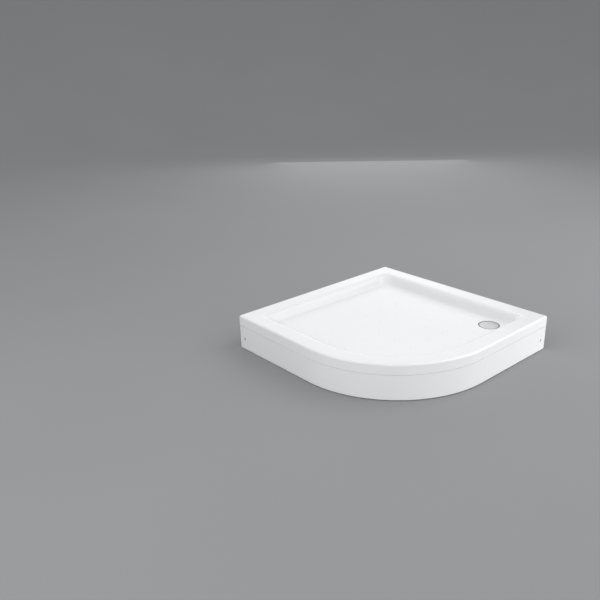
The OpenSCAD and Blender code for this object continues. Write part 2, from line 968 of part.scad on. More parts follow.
module bracket_screws() {
    color("dimgray")
        at_bracket_screws(batten_bottom - bracket_sheet)
            screw_up(clip_screw_length, screw_radius, screw_head_radius, screw_head_height);
}

module panel_screws() {
    web = boss_web - panel_thickness - boss_depth;
    color("silver")
        for (side = [0, 1])
            at_panel_screw(side) {
                translate([0, 0, web])
                    cylinder(h = panel_head_height, r = panel_head_radius, $fn = 32);
                translate([0, 0, web - panel_screw_length])
                    cylinder(h = panel_screw_length + overshoot, r = panel_screw_radius, $fn = 32);
            }
}

module screw_cap(side) {
    web = boss_web - panel_thickness - boss_depth;
    skirt = -cap_recess - web;
    color("whitesmoke")
        at_panel_screw(side)
            difference() {
                translate([0, 0, web])
                    cylinder(h = skirt, r = cap_diameter / 2);
                translate([0, 0, web - overshoot])
                    cylinder(h = skirt + overshoot - cap_disc, r = cap_diameter / 2 - cap_skirt_wall);
            }
}

module screw_cap_right() { screw_cap(0); }
module screw_cap_left() { screw_cap(1); }

tray_shell();
glass_fibre_layer();
base_board();
rim_batten_back();
rim_batten_left();
rim_batten_right();
rim_batten_front();
rim_batten_curve();
rail_back();
rail_middle();
rail_front();
rail_screws();
weld_nuts();
lock_nuts();
foot_stud(0);  // foot_stud_1
foot_stud(1);  // foot_stud_2
foot_stud(2);  // foot_stud_3
foot_stud(3);  // foot_stud_4
foot_stud(4);  // foot_stud_5
foot_stud(5);  // foot_stud_6
foot_pad(0);  // foot_pad_1
foot_pad(1);  // foot_pad_2
foot_pad(2);  // foot_pad_3
foot_pad(3);  // foot_pad_4
foot_pad(4);  // foot_pad_5
foot_pad(5);  // foot_pad_6
drain_cover();
waste_flange();
upper_gasket();
lower_gasket();
flange_screws();
trap_body();
dip_tube();
dip_tube_seal();
outlet_pipe();
outlet_seal();
outlet_nut();
front_panel();
panel_clips();
clip_screws();
panel_bracket_right();
panel_bracket_left();
bracket_screws();
panel_screws();
screw_cap_right();
screw_cap_left();
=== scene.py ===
import math

import bmesh
import bpy
from mathutils import Matrix, Vector


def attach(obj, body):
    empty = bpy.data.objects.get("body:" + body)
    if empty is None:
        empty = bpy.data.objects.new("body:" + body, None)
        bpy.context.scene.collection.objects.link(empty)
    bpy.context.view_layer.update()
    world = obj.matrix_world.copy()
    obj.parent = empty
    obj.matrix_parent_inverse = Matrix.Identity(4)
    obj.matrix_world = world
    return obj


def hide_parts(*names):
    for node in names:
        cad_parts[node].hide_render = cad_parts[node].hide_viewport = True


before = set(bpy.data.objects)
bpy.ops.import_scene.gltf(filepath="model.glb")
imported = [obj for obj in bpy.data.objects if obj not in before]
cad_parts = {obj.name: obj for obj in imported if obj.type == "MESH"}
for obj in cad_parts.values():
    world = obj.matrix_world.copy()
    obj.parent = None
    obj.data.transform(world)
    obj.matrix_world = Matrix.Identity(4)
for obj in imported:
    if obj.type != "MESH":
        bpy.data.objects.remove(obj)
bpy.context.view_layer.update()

MM = 0.001
# How near a vertex lies to a place to count as there, and to another one to be merged with it
NEAR = 0.1 * MM
SAME = 0.01 * MM
X, Y, Z = Vector((1, 0, 0)), Vector((0, 1, 0)), Vector((0, 0, 1))

# The tray's sizes, in metres. The walls are at -X and +Y. All but two are the solids' sizes:
# the front edge is a little less round, and the panel ends a little higher, for its dark foot.
HALF_SIDE = 450 * MM
RIM_TOP = 148 * MM
FRONT_RADIUS = 465 * MM
ARC_CENTRE = Vector((HALF_SIDE - FRONT_RADIUS, FRONT_RADIUS - HALF_SIDE, 0))
RIM_WIDTH = 57 * MM
APRON_BOTTOM = 105 * MM
FRONT_EDGE_RADIUS = 7.5 * MM
SHELL_THICKNESS = 4 * MM
SMALL_EDGE_RADIUS = 0.4 * MM

WALL_RUN = 50 * MM
BASIN_DEPTH = 40 * MM
FLOOR_LOW = RIM_TOP - BASIN_DEPTH
FLOOR_FALL = 0.005
LIP_RADIUS = 34 * MM
FOOT_RADIUS = 12 * MM
BACK_CORNER = (26 * MM, 60 * MM)
SIDE_CORNER = (14 * MM, 28 * MM)

WASTE = Vector((286 * MM, 286 * MM, 0))
RECESS_RADIUS = 44 * MM
RECESS_FLOOR = 96 * MM
WASTE_HOLE_RADIUS = 39 * MM
OUTLET = WASTE + Z * (60 * MM)

BUMP_PITCH = (84.7 * MM, 95.7 * MM)
BUMP_MIDDLE = (36 * MM, -10 * MM)
BUMP_RADIUS = 8 * MM
BUMP_HEIGHT = 0.8 * MM

PANEL_THICKNESS = 4 * MM
PANEL_BOTTOM = 3 * MM
PANEL_TOP = 104 * MM
PANEL_FLANGE = 16 * MM
PANEL_END = HALF_SIDE - 0.5 * MM
FLANGE_END = 404.7 * MM

# Where the panel's end screw stands on the open side: along it and up, in mm
SCREW_ALONG, SCREW_UP = 420, 49
SCREW_PLACE = Vector((450, SCREW_ALONG, SCREW_UP)) * MM

# The radius, in mm, and the angles at which screws and legs stand round the waste
FLANGE_SCREWS = (35, (30, 150, 270))
COVER_LEGS = (35, (90, 210, 330))

# In millimetres: where the feet stand, and how far the rails reach past them
FEET = [(-360, 301), (165, 301), (-360, 60), (360, 60), (-360, -301), (186.91, -301)]
RAIL_OVERHANG = 35

# In millimetres: the nuts, rails and battens above the floor, and the sheets under the battens
LOCK_NUT_BOTTOM, WELD_NUT_BOTTOM = 53, 59
RAIL_BOTTOM, RAIL_TOP = 69, 89
BATTEN_BOTTOM, BATTEN_TOP = 121, 141
CLIP_SHEET, BRACKET_SHEET = 1.5, 2

# In millimetres: how far the clips' screws stand in from the outline, and the brackets' out
CLIP_SCREW_IN, BRACKET_SCREW_OUT = 34, 426


# Modelling by hand, in code


def deselect_all():
    bpy.ops.object.select_all(action="DESELECT")
    bpy.context.view_layer.objects.active = None


def make_active(piece):
    deselect_all()
    piece.select_set(True)
    bpy.context.view_layer.objects.active = piece


def face_outwards():
    bpy.ops.mesh.select_all(action="SELECT")
    bpy.ops.mesh.normals_make_consistent(inside=False)


def close_up(threshold=SAME):
    """Merges the vertices that lie in one place, and turns all faces outwards."""
    bpy.ops.mesh.select_all(action="SELECT")
    bpy.ops.mesh.remove_doubles(threshold=threshold)
    face_outwards()


def pull_edges(*way):
    bpy.ops.mesh.extrude_edges_move(TRANSFORM_OT_translate={"value": way})


def pull_face_up(height):
    bpy.ops.mesh.extrude_region_move(TRANSFORM_OT_translate={"value": (0, 0, height)})


def widen(scale, centre):
    """Scales what is selected in plan."""
    bpy.ops.transform.resize(value=(scale, scale, 1), center_override=centre)


class Bench:
    """Edit mode on an empty new piece. Leaving it closes edit mode and keeps the piece's mesh."""

    def __init__(self, name):
        deselect_all()
        self.piece = bpy.data.objects.new(name, bpy.data.meshes.new(name))
        bpy.context.scene.collection.objects.link(self.piece)

    def __enter__(self):
        make_active(self.piece)
        bpy.ops.object.mode_set(mode="EDIT")
        bpy.ops.mesh.select_mode(type="VERT")
        return self

    def __exit__(self, *_):
        bpy.ops.object.mode_set(mode="OBJECT")

    def mesh(self):
        return bmesh.from_edit_mesh(self.piece.data)

    def pick(self, kind, wanted):
        """Selects just the vertices (VERT), edges (EDGE) or faces (FACE) that pass a test."""
        bpy.ops.mesh.select_mode(type=kind)
        bpy.ops.mesh.select_all(action="DESELECT")
        shape = self.mesh()
        for part in {"VERT": shape.verts, "EDGE": shape.edges, "FACE": shape.faces}[kind]:
            if wanted(part):
                part.select_set(True)
        if kind == "VERT":
            shape.select_flush_mode()
        bmesh.update_edit_mesh(self.piece.data)

    def pick_open_edges(self, wanted):
        """Selects just the edges with fewer than two faces whose ends both pass a test."""
        self.pick("EDGE", lambda e: len(e.link_faces) < 2 and all(wanted(v.co) for v in e.verts))

    def round_corner(self, corner, radius, steps):
        """Rounds one right-angled corner of a flat outline."""
        self.pick("VERT", lambda v: (v.co - corner).length < SAME)
        bpy.ops.mesh.bevel(
            offset=radius, segments=steps, profile=0.5, affect="VERTICES", clamp_overlap=False
        )

    def outline(self, inset, level, side_radius, back_radius):
        """Adds a flat face with the tray's outline, moved in, with its corners rounded."""
        h = HALF_SIDE - inset
        bpy.ops.mesh.select_all(action="DESELECT")
        bpy.ops.mesh.primitive_plane_add(size=2 * h, location=(0, 0, level))
        self.round_corner(Vector((h, -h, level)), FRONT_RADIUS - inset, 48)
        if side_radius:
            self.round_corner(Vector((h, h, level)), side_radius, 8)
            self.round_corner(Vector((-h, -h, level)), side_radius, 8)
            self.round_corner(Vector((-h, h, level)), back_radius, 12)

    def open_outline(self):
        """Takes away the face of the newest outline, so that a wire is left."""
        self.pick("FACE", lambda f: len(f.verts) > 40)
        bpy.ops.mesh.delete(type="ONLY_FACE")

    def profile(self, points):
        """Draws a line through points, from a single vertex that is extruded on and on."""
        bpy.ops.mesh.select_all(action="DESELECT")
        bpy.ops.mesh.primitive_plane_add(size=1 * MM, location=points[0])
        bpy.ops.mesh.merge(type="CENTER")
        for start, end in zip(points, points[1:]):
            bpy.ops.mesh.extrude_vertices_move(TRANSFORM_OT_translate={"value": end - start})

    def turn(self, centre, axis, steps):
        """Spins the whole mesh about an axis to a closed round form."""
        bpy.ops.mesh.select_all(action="SELECT")
        bpy.ops.mesh.spin(steps=steps, angle=2 * math.pi, center=centre, axis=axis)
        close_up()


def modify(piece, kind, **settings):
    """Adds a modifier and applies it at once."""
    make_active(piece)
    modifier = piece.modifiers.new(kind.lower(), kind)
    for key, value in settings.items():
        setattr(modifier, key, value)
    bpy.ops.object.modifier_apply(modifier=modifier.name)


def thicken(piece, thickness):
    modify(piece, "SOLIDIFY", thickness=thickness, offset=-1, use_even_offset=True)


def soften_edges(piece, radius, steps=2):
    modify(
        piece, "BEVEL", width=radius, segments=steps, limit_method="ANGLE",
        angle_limit=math.radians(40), harden_normals=False,
    )


def smooth(piece, angle=30):
    """Smooth shading that keeps the sharp edges, and keeps large flats flat."""
    make_active(piece)
    bpy.ops.object.shade_smooth_by_angle(angle=math.radians(angle))
    modify(piece, "WEIGHTED_NORMAL", keep_sharp=True, weight=100)
    return piece


def lathe(name, profile, centre=Vector(), axis=Z, steps=64):
    """A form turned on a lathe. The profile: distances from the axis and along it, in mm."""
    across = Y if abs(axis.x) > 0.5 else X
    points = [centre + across * (r * MM) + axis * (along * MM) for r, along in profile]
    with Bench(name) as bench:
        bench.profile(points)
        bench.turn(centre, axis, steps)
    return bench.piece


def turned(name, profile, centre=Vector(), axis=Z, steps=64, angle=30):
    """A lathe form that needs nothing more than its shading."""
    return smooth(lathe(name, profile, centre, axis, steps), angle)


def band(inner, outer, low, high, edge):
    """The closed profile of a ring with rounded edges."""
    e = edge * 0.3
    return [
        (inner, low + edge), (inner + e, low + e), (inner + edge, low),
        (outer - edge, low), (outer - e, low + e), (outer, low + edge),
        (outer, high - edge), (outer - e, high - e), (outer - edge, high),
        (inner + edge, high), (inner + e, high - e), (inner, high - edge), (inner, low + edge),
    ]


def combine(piece, tool, way="DIFFERENCE"):
    """Cuts a tool's form out of a piece, or joins it on. The tool is used up."""
    modify(piece, "BOOLEAN", object=tool, operation=way, solver="EXACT")
    bpy.data.objects.remove(tool)
    return piece


def hole(radius, start, end, centre=Vector(), axis=Z, steps=32, chamfer=0.3):
    """A tool for a round hole along an axis, from start to end, opened a little at both ends."""
    past = 1
    profile = [
        (0, start - past), (radius + chamfer + past, start - past), (radius, start + chamfer),
        (radius, end - chamfer), (radius + chamfer + past, end + past), (0, end + past),
    ]
    return lathe("hole", profile, centre, axis, steps)


def block(name, low, high, edge, steps=2):
    """A block between two corners, drawn as a face and extruded, with rounded edges."""
    low, high = Vector(low) * MM, Vector(high) * MM
    size, middle = high - low, (low + high) / 2
    with Bench(name):
        bpy.ops.mesh.primitive_plane_add(size=1, location=(middle.x, middle.y, low.z))
        bpy.ops.transform.resize(
            value=(size.x, size.y, 1), center_override=(middle.x, middle.y, low.z)
        )
        pull_face_up(size.z)
        face_outwards()
        bpy.ops.mesh.bevel(offset=edge * MM, segments=steps, profile=0.5, affect="EDGES")
    return bpy.context.view_layer.objects.active


def rounded(points, radius, steps=5, closed=False):
    """A line through points, in mm, whose corners are turned into arcs."""
    points = [Vector(p) * MM for p in points]
    radius *= MM
    line = []
    for i, point in enumerate(points):
        if not closed and i in (0, len(points) - 1):
            line.append(point)
            continue
        before = (points[i - 1] - point).normalized()
        after = (points[(i + 1) % len(points)] - point).normalized()
        half = before.angle(after) / 2
        middle = point + (before + after).normalized() * (radius / math.sin(half))
        start = point + before * (radius / math.tan(half)) - middle
        end = point + after * (radius / math.tan(half)) - middle
        swing = Matrix.Rotation((math.pi - 2 * half) / steps, 3, start.cross(end))
        for _ in range(steps + 1):
            line.append(middle + start)
            start = swing @ start
    return line + line[:1] if closed else line


def drawn_out(name, line, way, thickness, side):
    """A line drawn out to a sheet, then thickened to one side of it (-1), or about it (0)."""
    with Bench(name) as bench:
        bench.profile(line)
        bench.pick("EDGE", lambda e: True)
        pull_edges(*Vector(way) * MM)
        close_up()
    modify(
        bench.piece, "SOLIDIFY", thickness=thickness * MM, offset=side, use_even_offset=True
    )
    soften_edges(bench.piece, 0.15 * MM, steps=1)
    return bench.piece


def threaded_rod(name, radius, low, high, pitch, depth, steps=20):
    """A rod with a helical thread: its section, screwed up the rod and cut off square."""
    turns = math.ceil((high - low) / pitch) + 4
    section = [
        (radius - depth, 0), (radius - depth, 0.12), (radius, 0.44), (radius, 0.68),
        (radius - depth, 1),
    ]
    with Bench(name) as bench:
        bench.profile([X * (r * MM) + Z * ((low + (s - 2) * pitch) * MM) for r, s in section])
    modify(
        bench.piece, "SCREW", axis="Z", screw_offset=pitch * MM, iterations=turns, steps=steps,
        render_steps=steps, use_merge_vertices=True, merge_threshold=0.002 * MM,
    )
    make_active(bench.piece)
    bpy.ops.object.mode_set(mode="EDIT")
    for level, way in ((low, 1), (high, -1)):
        bpy.ops.mesh.select_all(action="SELECT")
        bpy.ops.mesh.bisect(
            plane_co=(0, 0, level * MM), plane_no=(0, 0, way), use_fill=True, clear_inner=True
        )
    close_up(0.002 * MM)
    bpy.ops.object.mode_set(mode="OBJECT")
    return bench.piece


def hexagon_bar(name, flats, low, high):
    """A hexagonal bar whose ends have the turned chamfers of a nut."""
    corner = flats / math.sqrt(3)
    with Bench(name):
        bpy.ops.mesh.primitive_circle_add(
            vertices=6, radius=corner * MM, fill_type="NGON", location=(0, 0, low * MM),
            rotation=(0, 0, math.pi / 2),
        )
        pull_face_up((high - low) * MM)
        face_outwards()
    bar = bpy.context.view_layer.objects.active
    flat, drop = flats / 2 * 0.97, 0.9
    chamfers = lathe("chamfers", [
        (0, low), (flat, low), (corner + 0.1, low + drop), (corner + 0.1, high - drop),
        (flat, high), (0, high),
    ], steps=48)
    return combine(bar, chamfers, "INTERSECT")


def copies(piece, moves):
    """Copies of a piece, each with its own mesh, placed by a matrix. The first one is used up."""
    made = []
    for number, move in enumerate(moves, 1):
        twin = bpy.data.objects.new(f"{piece.name}_{number}", piece.data.copy())
        twin.data.transform(move)
        if move.determinant() < 0:
            twin.data.flip_normals()
        bpy.context.scene.collection.objects.link(twin)
        made.append(twin)
    bpy.data.objects.remove(piece)
    return made


def moved(x, y, z):
    return Matrix.Translation(Vector((x, y, z)) * MM)


def turned_by(degrees, axis="Z"):
    return Matrix.Rotation(math.radians(degrees), 4, axis)


# Takes what is made at the open side's wall end to the front side's wall end
TO_FRONT_SIDE = Matrix(((0, -1, 0, 0), (-1, 0, 0, 0), (0, 0, 1, 0), (0, 0, 0, 1)))


def join(first, *others):
    """Joins pieces into the first one."""
    deselect_all()
    for piece in (first, *others):
        piece.select_set(True)
    bpy.context.view_layer.objects.active = first
    bpy.ops.object.join()
    return first


def put_on(piece, body, finish, slot, *nodes):
    """Gives a finished piece its finish and its body, in place of these nodes."""
    piece.data.materials.clear()
    piece.data.materials.append(finish)
    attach(piece, body)
    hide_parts(*nodes)
    return piece


# Shader trees


class Wire:
    """A socket in a finish's shader tree. Arithmetic on wires adds Math nodes."""

    def __init__(self, finish, socket):
        self.finish, self.socket = finish, socket

    def _maths(self, operation, first, second):
        return self.finish.node("ShaderNodeMath", {"operation": operation}, {0: first, 1: second})

    def __add__(self, other):
        return self._maths("ADD", self, other)

    def __mul__(self, other):
        return self._maths("MULTIPLY", self, other)

    __radd__ = __add__
    __rmul__ = __mul__


class Finish:
    """A material: one Principled shader, its fixed values, and what drives the rest."""

    def __init__(self, name, **fixed):
        self.material = bpy.data.materials.new(name)
        self.material.use_nodes = True
        self.tree = self.material.node_tree
        self.tree.nodes.clear()
        output = self.tree.nodes.new("ShaderNodeOutputMaterial")
        self.shader = self.tree.nodes.new("ShaderNodeBsdfPrincipled")
        self.tree.links.new(self.shader.outputs["BSDF"], output.inputs["Surface"])
        for socket, value in fixed.items():
            self.shader.inputs[socket.replace("_", " ")].default_value = value
        self.place = self.node("ShaderNodeTexCoord", out="Object")

    def node(self, kind, settings=None, inputs=None, out=0):
        """Adds a node: its settings, and the values or wires of its sockets. Returns one output."""
        made = self.tree.nodes.new(kind)
        for key, value in (settings or {}).items():
            if key == "stops":
                self._set_stops(made.color_ramp.elements, value)
            else:
                setattr(made, key, value)
        for key, value in (inputs or {}).items():
            self._feed(made.inputs[key], value)
        return Wire(self, made.outputs[out])

    def _feed(self, socket, value):
        if isinstance(value, Wire):
            self.tree.links.new(value.socket, socket)
        else:
            socket.default_value = value

    @staticmethod
    def _set_stops(elements, stops):
        while len(elements) < len(stops):
            elements.new(1)
        for element, (position, colour) in zip(elements, stops):
            element.position = position
            element.color = (*colour, 1)

    def scaled(self, x, y, z):
        """The place on the piece, stretched along the axes."""
        return self.node("ShaderNodeMapping", inputs={"Vector": self.place, "Scale": (x, y, z)})

    def noise(self, scale, detail=2, roughness=0.5, place=None, distortion=0):
        return self.node(
            "ShaderNodeTexNoise",
            inputs={
                "Vector": place or self.place, "Scale": scale, "Detail": detail,
                "Roughness": roughness, "Distortion": distortion,
            },
        )

    def cells(self, scale, place=None, feature="F1", out="Distance"):
        return self.node(
            "ShaderNodeTexVoronoi", {"feature": feature},
            {"Vector": place or self.place, "Scale": scale}, out,
        )

    def spread(self, wire, low, high, to_low=0, to_high=1):
        """Maps a range of a wire to another range, held at its ends."""
        return self.node(
            "ShaderNodeMapRange",
            inputs={0: wire, 1: low, 2: high, 3: to_low, 4: to_high},
        )

    def ramp(self, wire, *stops):
        return self.node("ShaderNodeValToRGB", {"stops": stops}, {0: wire})

    def blend(self, share, first, second):
        """Mixes two colours."""
        return self.node(
            "ShaderNodeMix", {"data_type": "RGBA"},
            {0: share, 6: colour(first), 7: colour(second)}, 2,
        )

    def relief(self, height, depth, below=None):
        """A bump of a height wire, its depth in metres."""
        inputs = {"Height": height, "Distance": depth, "Strength": 1}
        if below:
            inputs["Normal"] = below
        return self.node("ShaderNodeBump", inputs=inputs)

    def drive(self, **wires):
        for socket, wire in wires.items():
            self._feed(self.shader.inputs[socket.replace("_", " ")], wire)
        return self.material


def colour(value):
    return value if isinstance(value, Wire) else (*value, 1)


def glossy_acrylic():
    """Thick white acrylic: a gloss with the faint waves and wiping marks of a formed sheet."""
    finish = Finish("glossy_white_acrylic", IOR=1.49, Coat_Roughness=0.05, Coat_IOR=1.5)
    clouds = finish.noise(3.5, 3)
    wipes = finish.noise(14, 4, 0.6, finish.scaled(1, 3.5, 1), 0.6)
    waves = finish.noise(32, 2, 0.4)
    grain = finish.noise(1400, 2)
    surface = finish.relief(waves, 0.00006)
    return finish.drive(
        Base_Color=finish.ramp(clouds, (0.35, (0.885, 0.895, 0.905)), (0.65, (0.9, 0.908, 0.915))),
        Roughness=finish.spread(wipes, 0.3, 0.7, 0.17, 0.26),
        Coat_Weight=finish.spread(clouds, 0.3, 0.7, 0.18, 0.3),
        Normal=finish.relief(grain, 0.000004, surface),
    )


def satin_panel():
    """The panel's white plastic sheet, a little less glossy than the tray, drawn upwards."""
    finish = Finish("white_panel_sheet", IOR=1.49, Coat_Roughness=0.12)
    clouds = finish.noise(4, 3)
    wipes = finish.noise(6, 3, 0.5, finish.scaled(1, 1, 3), 0.4)
    grain = finish.noise(1100, 2)
    waves = finish.noise(20, 2, 0.4)
    surface = finish.relief(waves, 0.00005)
    return finish.drive(
        Base_Color=finish.ramp(clouds, (0.35, (0.865, 0.875, 0.885)), (0.65, (0.88, 0.89, 0.898))),
        Roughness=finish.spread(wipes, 0.3, 0.7, 0.285, 0.33),
        Coat_Weight=finish.spread(clouds, 0.3, 0.7, 0.12, 0.22),
        Normal=finish.relief(grain, 0.000005, surface),
    )


def moulded_plastic(name, low, high, roughness):
    """Injection-moulded plastic with a fine spark-eroded grain and slightly uneven colour."""
    finish = Finish(name, IOR=1.48)
    patches = finish.noise(45, 3)
    grain = finish.noise(1500, 3, 0.6)
    return finish.drive(
        Base_Color=finish.ramp(patches, (0.3, low), (0.7, high)),
        Roughness=finish.spread(finish.noise(90, 3), 0.3, 0.7, roughness, roughness + 0.1),
        Normal=finish.relief(grain, 0.00001),
    )


def rubber():
    """Black rubber with a dusty bloom and a fine matt skin."""
    finish = Finish("black_rubber", IOR=1.52, Sheen_Weight=0.15, Sheen_Roughness=0.6)
    bloom = finish.noise(60, 4, 0.6)
    return finish.drive(
        Base_Color=finish.ramp(bloom, (0.35, (0.018, 0.018, 0.019)), (0.75, (0.045, 0.044, 0.043))),
        Roughness=finish.spread(bloom, 0.3, 0.7, 0.62, 0.8),
        Normal=finish.relief(finish.noise(2200, 2), 0.000012),
    )


def zinc_sheet():
    """Galvanised steel: patches of zinc crystals, each with its own grey, and small scratches."""
    finish = Finish("zinc_coated_steel", Metallic=1.0)
    warp = finish.noise(30, 2)
    spangle = finish.cells(110, out="Color")
    shade = finish.node("ShaderNodeSeparateColor", inputs={0: spangle})
    scratches = finish.noise(60, 6, 0.75, finish.scaled(0.35, 6, 6), 0.3)
    return finish.drive(
        Base_Color=finish.blend(
            finish.spread(warp, 0.35, 0.65, 0, 0.35),
            finish.ramp(shade, (0, (0.44, 0.455, 0.47)), (1, (0.62, 0.635, 0.645))),
            (0.4, 0.41, 0.41),
        ),
        Roughness=finish.spread(shade * 0.6 + scratches * 0.4, 0.1, 0.8, 0.32, 0.52),
        Normal=finish.relief(scratches, 0.00002),
    )


def plated_screw():
    """Bright zinc-plated screw steel, slightly yellowed in places."""
    finish = Finish("plated_screw_steel", Metallic=1.0)
    stain = finish.noise(220, 4, 0.6)
    return finish.drive(
        Base_Color=finish.ramp(stain, (0.35, (0.5, 0.5, 0.49)), (0.7, (0.62, 0.6, 0.55))),
        Roughness=finish.spread(finish.noise(600, 3), 0.3, 0.7, 0.26, 0.4),
        Normal=finish.relief(finish.noise(1800, 2), 0.000006),
    )


def satin_chrome():
    """Chrome that was brushed round the cover's middle before it was lacquered, with a dark ring of
    painted shade round its edge that stands in for the shadow in the gap.
    """
    finish = Finish("satin_chrome", Metallic=1.0, Coat_Roughness=0.2)
    centred = finish.node(
        "ShaderNodeMapping",
        inputs={"Vector": finish.place, "Location": tuple(-WASTE), "Scale": (1, 1, 0)},
    )
    across = finish.node("ShaderNodeVectorMath", {"operation": "LENGTH"}, {0: centred}, "Value")
    rings = finish.node(
        "ShaderNodeTexNoise", {"noise_dimensions": "1D"}, {"W": across, "Scale": 5200, "Detail": 3}
    )
    clouds = finish.noise(50, 3)
    brushed = finish.ramp(clouds, (0.3, (0.63, 0.64, 0.65)), (0.7, (0.68, 0.69, 0.7)))
    # Painted shade: the cover's edge turns dark grey from 37.5 to 39.5 mm out, standing in for the
    # shadow in the gap between the cover and the recess
    painted_gap_shade = finish.spread(across, 37.5 * MM, 39.5 * MM)
    return finish.drive(
        Base_Color=finish.blend(painted_gap_shade, brushed, (0.17, 0.175, 0.18)),
        Roughness=finish.spread(rings, 0.3, 0.7, 0.28, 0.4),
        Coat_Weight=finish.spread(clouds, 0.3, 0.7, 0.1, 0.2),
        Normal=finish.relief(rings, 0.000006),
    )


def polished_chrome():
    """Mirror chrome with faint water spots."""
    finish = Finish("polished_chrome", Metallic=1.0)
    spots = finish.cells(240, feature="SMOOTH_F1")
    haze = finish.noise(35, 3)
    return finish.drive(
        Base_Color=finish.ramp(haze, (0.3, (0.7, 0.71, 0.72)), (0.7, (0.76, 0.77, 0.775))),
        Roughness=finish.spread(spots, 0.05, 0.35, 0.16, 0.09),
        Normal=finish.relief(finish.noise(120, 2), 0.00001),
    )


def chipboard():
    """Pressed wood flakes in glue: flat chips in several browns, with pores between them."""
    finish = Finish("chipboard", IOR=1.45)
    bent = finish.noise(55, 3)
    place = finish.node(
        "ShaderNodeVectorMath", {"operation": "MULTIPLY_ADD"},
        {0: finish.node("ShaderNodeCombineXYZ", inputs={0: bent, 1: bent, 2: bent}),
         1: (0.012, 0.02, 0.004), 2: finish.place},
    )
    flakes = finish.cells(190, place, out="Color")
    shade = finish.node("ShaderNodeSeparateColor", inputs={0: flakes})
    dust = finish.noise(900, 4, 0.7)
    edges = finish.cells(190, place, "DISTANCE_TO_EDGE")
    tone = shade * 0.75 + dust * 0.25
    return finish.drive(
        Base_Color=finish.ramp(
            tone, (0.1, (0.23, 0.14, 0.07)), (0.35, (0.42, 0.28, 0.15)),
            (0.65, (0.56, 0.4, 0.23)), (0.95, (0.68, 0.53, 0.33)),
        ),
        Roughness=finish.spread(dust, 0.3, 0.7, 0.7, 0.88),
        Normal=finish.relief(finish.spread(edges, 0, 0.12), 0.00025),
    )


def sawn_timber(name, along):
    """Planed softwood, its grain along one axis: annual rings, darker late wood and fine fibres."""
    finish = Finish(name, IOR=1.45)
    stretch = [60.0, 60.0, 60.0]
    stretch["XYZ".index(along)] = 2.2
    fibre = [900.0, 900.0, 900.0]
    fibre["XYZ".index(along)] = 22
    growth = finish.noise(1, 3, 0.55, finish.scaled(*stretch), 1.2)
    rings = finish.node(
        "ShaderNodeTexWave", {"bands_direction": "DIAGONAL", "wave_profile": "SAW"},
        {"Vector": finish.scaled(*[s / 2.4 for s in stretch]), "Scale": 1.4, "Distortion": 5,
         "Detail": 3, "Detail Scale": 0.6},
        "Fac",
    )
    fibres = finish.noise(1, 3, 0.7, finish.scaled(*fibre))
    tone = rings * 0.5 + growth * 0.35 + fibres * 0.15
    return finish.drive(
        Base_Color=finish.ramp(
            tone, (0.2, (0.64, 0.45, 0.25)), (0.5, (0.56, 0.37, 0.19)), (0.85, (0.38, 0.22, 0.1)),
        ),
        Roughness=finish.spread(fibres, 0.3, 0.7, 0.55, 0.75),
        Normal=finish.relief(fibres * 0.5 + rings * 0.5, 0.00012),
    )


def glass_fibre():
    """Chopped strands in resin: crossing pale fibres under a wet, lumpy, yellowish skin."""
    finish = Finish("glass_fibre_resin", IOR=1.52, Coat_Roughness=0.15)
    strands = None
    for turn in (10, 55, 100, 145):
        place = finish.node(
            "ShaderNodeMapping",
            inputs={
                "Vector": finish.place, "Rotation": (0.3, 0.2, math.radians(turn)),
                "Scale": (14, 620, 320),
            },
        )
        threads = finish.spread(finish.noise(1, 2, 0.4, place, 0.35), 0.5, 0.72)
        strands = threads if strands is None else finish.node(
            "ShaderNodeMath", {"operation": "MAXIMUM"}, {0: strands, 1: threads}
        )
    lumps = finish.noise(38, 4, 0.6)
    resin = finish.ramp(lumps, (0.3, (0.5, 0.47, 0.33)), (0.7, (0.63, 0.6, 0.46)))
    return finish.drive(
        Base_Color=finish.blend(strands, resin, (0.78, 0.77, 0.68)),
        Roughness=finish.spread(lumps, 0.3, 0.7, 0.3, 0.5),
        Coat_Weight=finish.spread(lumps, 0.3, 0.7, 0.5, 0.9),
        Normal=finish.relief(strands * 0.3 + lumps * 1.4, 0.0006),
    )


def studio_floor_paint():
    finish = Finish("pale_floor", IOR=1.45, Specular_IOR_Level=0.2)
    clouds = finish.noise(0.8, 2)
    return finish.drive(
        Base_Color=finish.ramp(clouds, (0.3, (0.325, 0.33, 0.341)), (0.7, (0.337, 0.342, 0.353))),
        Roughness=finish.spread(clouds, 0.3, 0.7, 0.8, 0.9),
    )


# The tray's shell


def rise(spot):
    """How far the basin floor has risen at a spot, on its way up from the waste."""
    return FLOOR_FALL * math.hypot(spot.x - WASTE.x, spot.y - WASTE.y)


def wall_angle():
    fillets = LIP_RADIUS + FOOT_RADIUS
    drop = fillets - BASIN_DEPTH
    return math.atan2(WALL_RUN, drop) - math.acos(fillets / math.hypot(WALL_RUN, drop))


def basin_levels(lip_steps=14, foot_steps=7):
    """Insets and levels of the basin's rings, from the rim down the wall to the floor."""
    lip = [
        (RIM_WIDTH + LIP_RADIUS * math.sin(a), RIM_TOP - LIP_RADIUS * (1 - math.cos(a)))
        for a in (wall_angle() * i / lip_steps for i in range(lip_steps + 1))
    ]
    foot_end = RIM_WIDTH + WALL_RUN
    foot = [
        (foot_end - FOOT_RADIUS * math.sin(a), FLOOR_LOW + FOOT_RADIUS * (1 - math.cos(a)))
        for a in (wall_angle() * i / foot_steps for i in range(foot_steps, -1, -1))
    ]
    return lip + foot


def basin_ring(bench, inset, level):
    """Adds one ring of the basin as a wire, its corners wider towards the floor."""
    share = (inset - RIM_WIDTH) / WALL_RUN
    side, back = (low + (high - low) * share for low, high in (SIDE_CORNER, BACK_CORNER))
    bench.outline(inset, level, side, back)
    bench.open_outline()


def inset_of(spot):
    """How far a spot lies inside the tray's outline."""
    beyond = spot - ARC_CENTRE
    if beyond.x > 0 and beyond.y < 0:
        return FRONT_RADIUS - math.hypot(beyond.x, beyond.y)
    return HALF_SIDE - max(abs(spot.x), abs(spot.y))


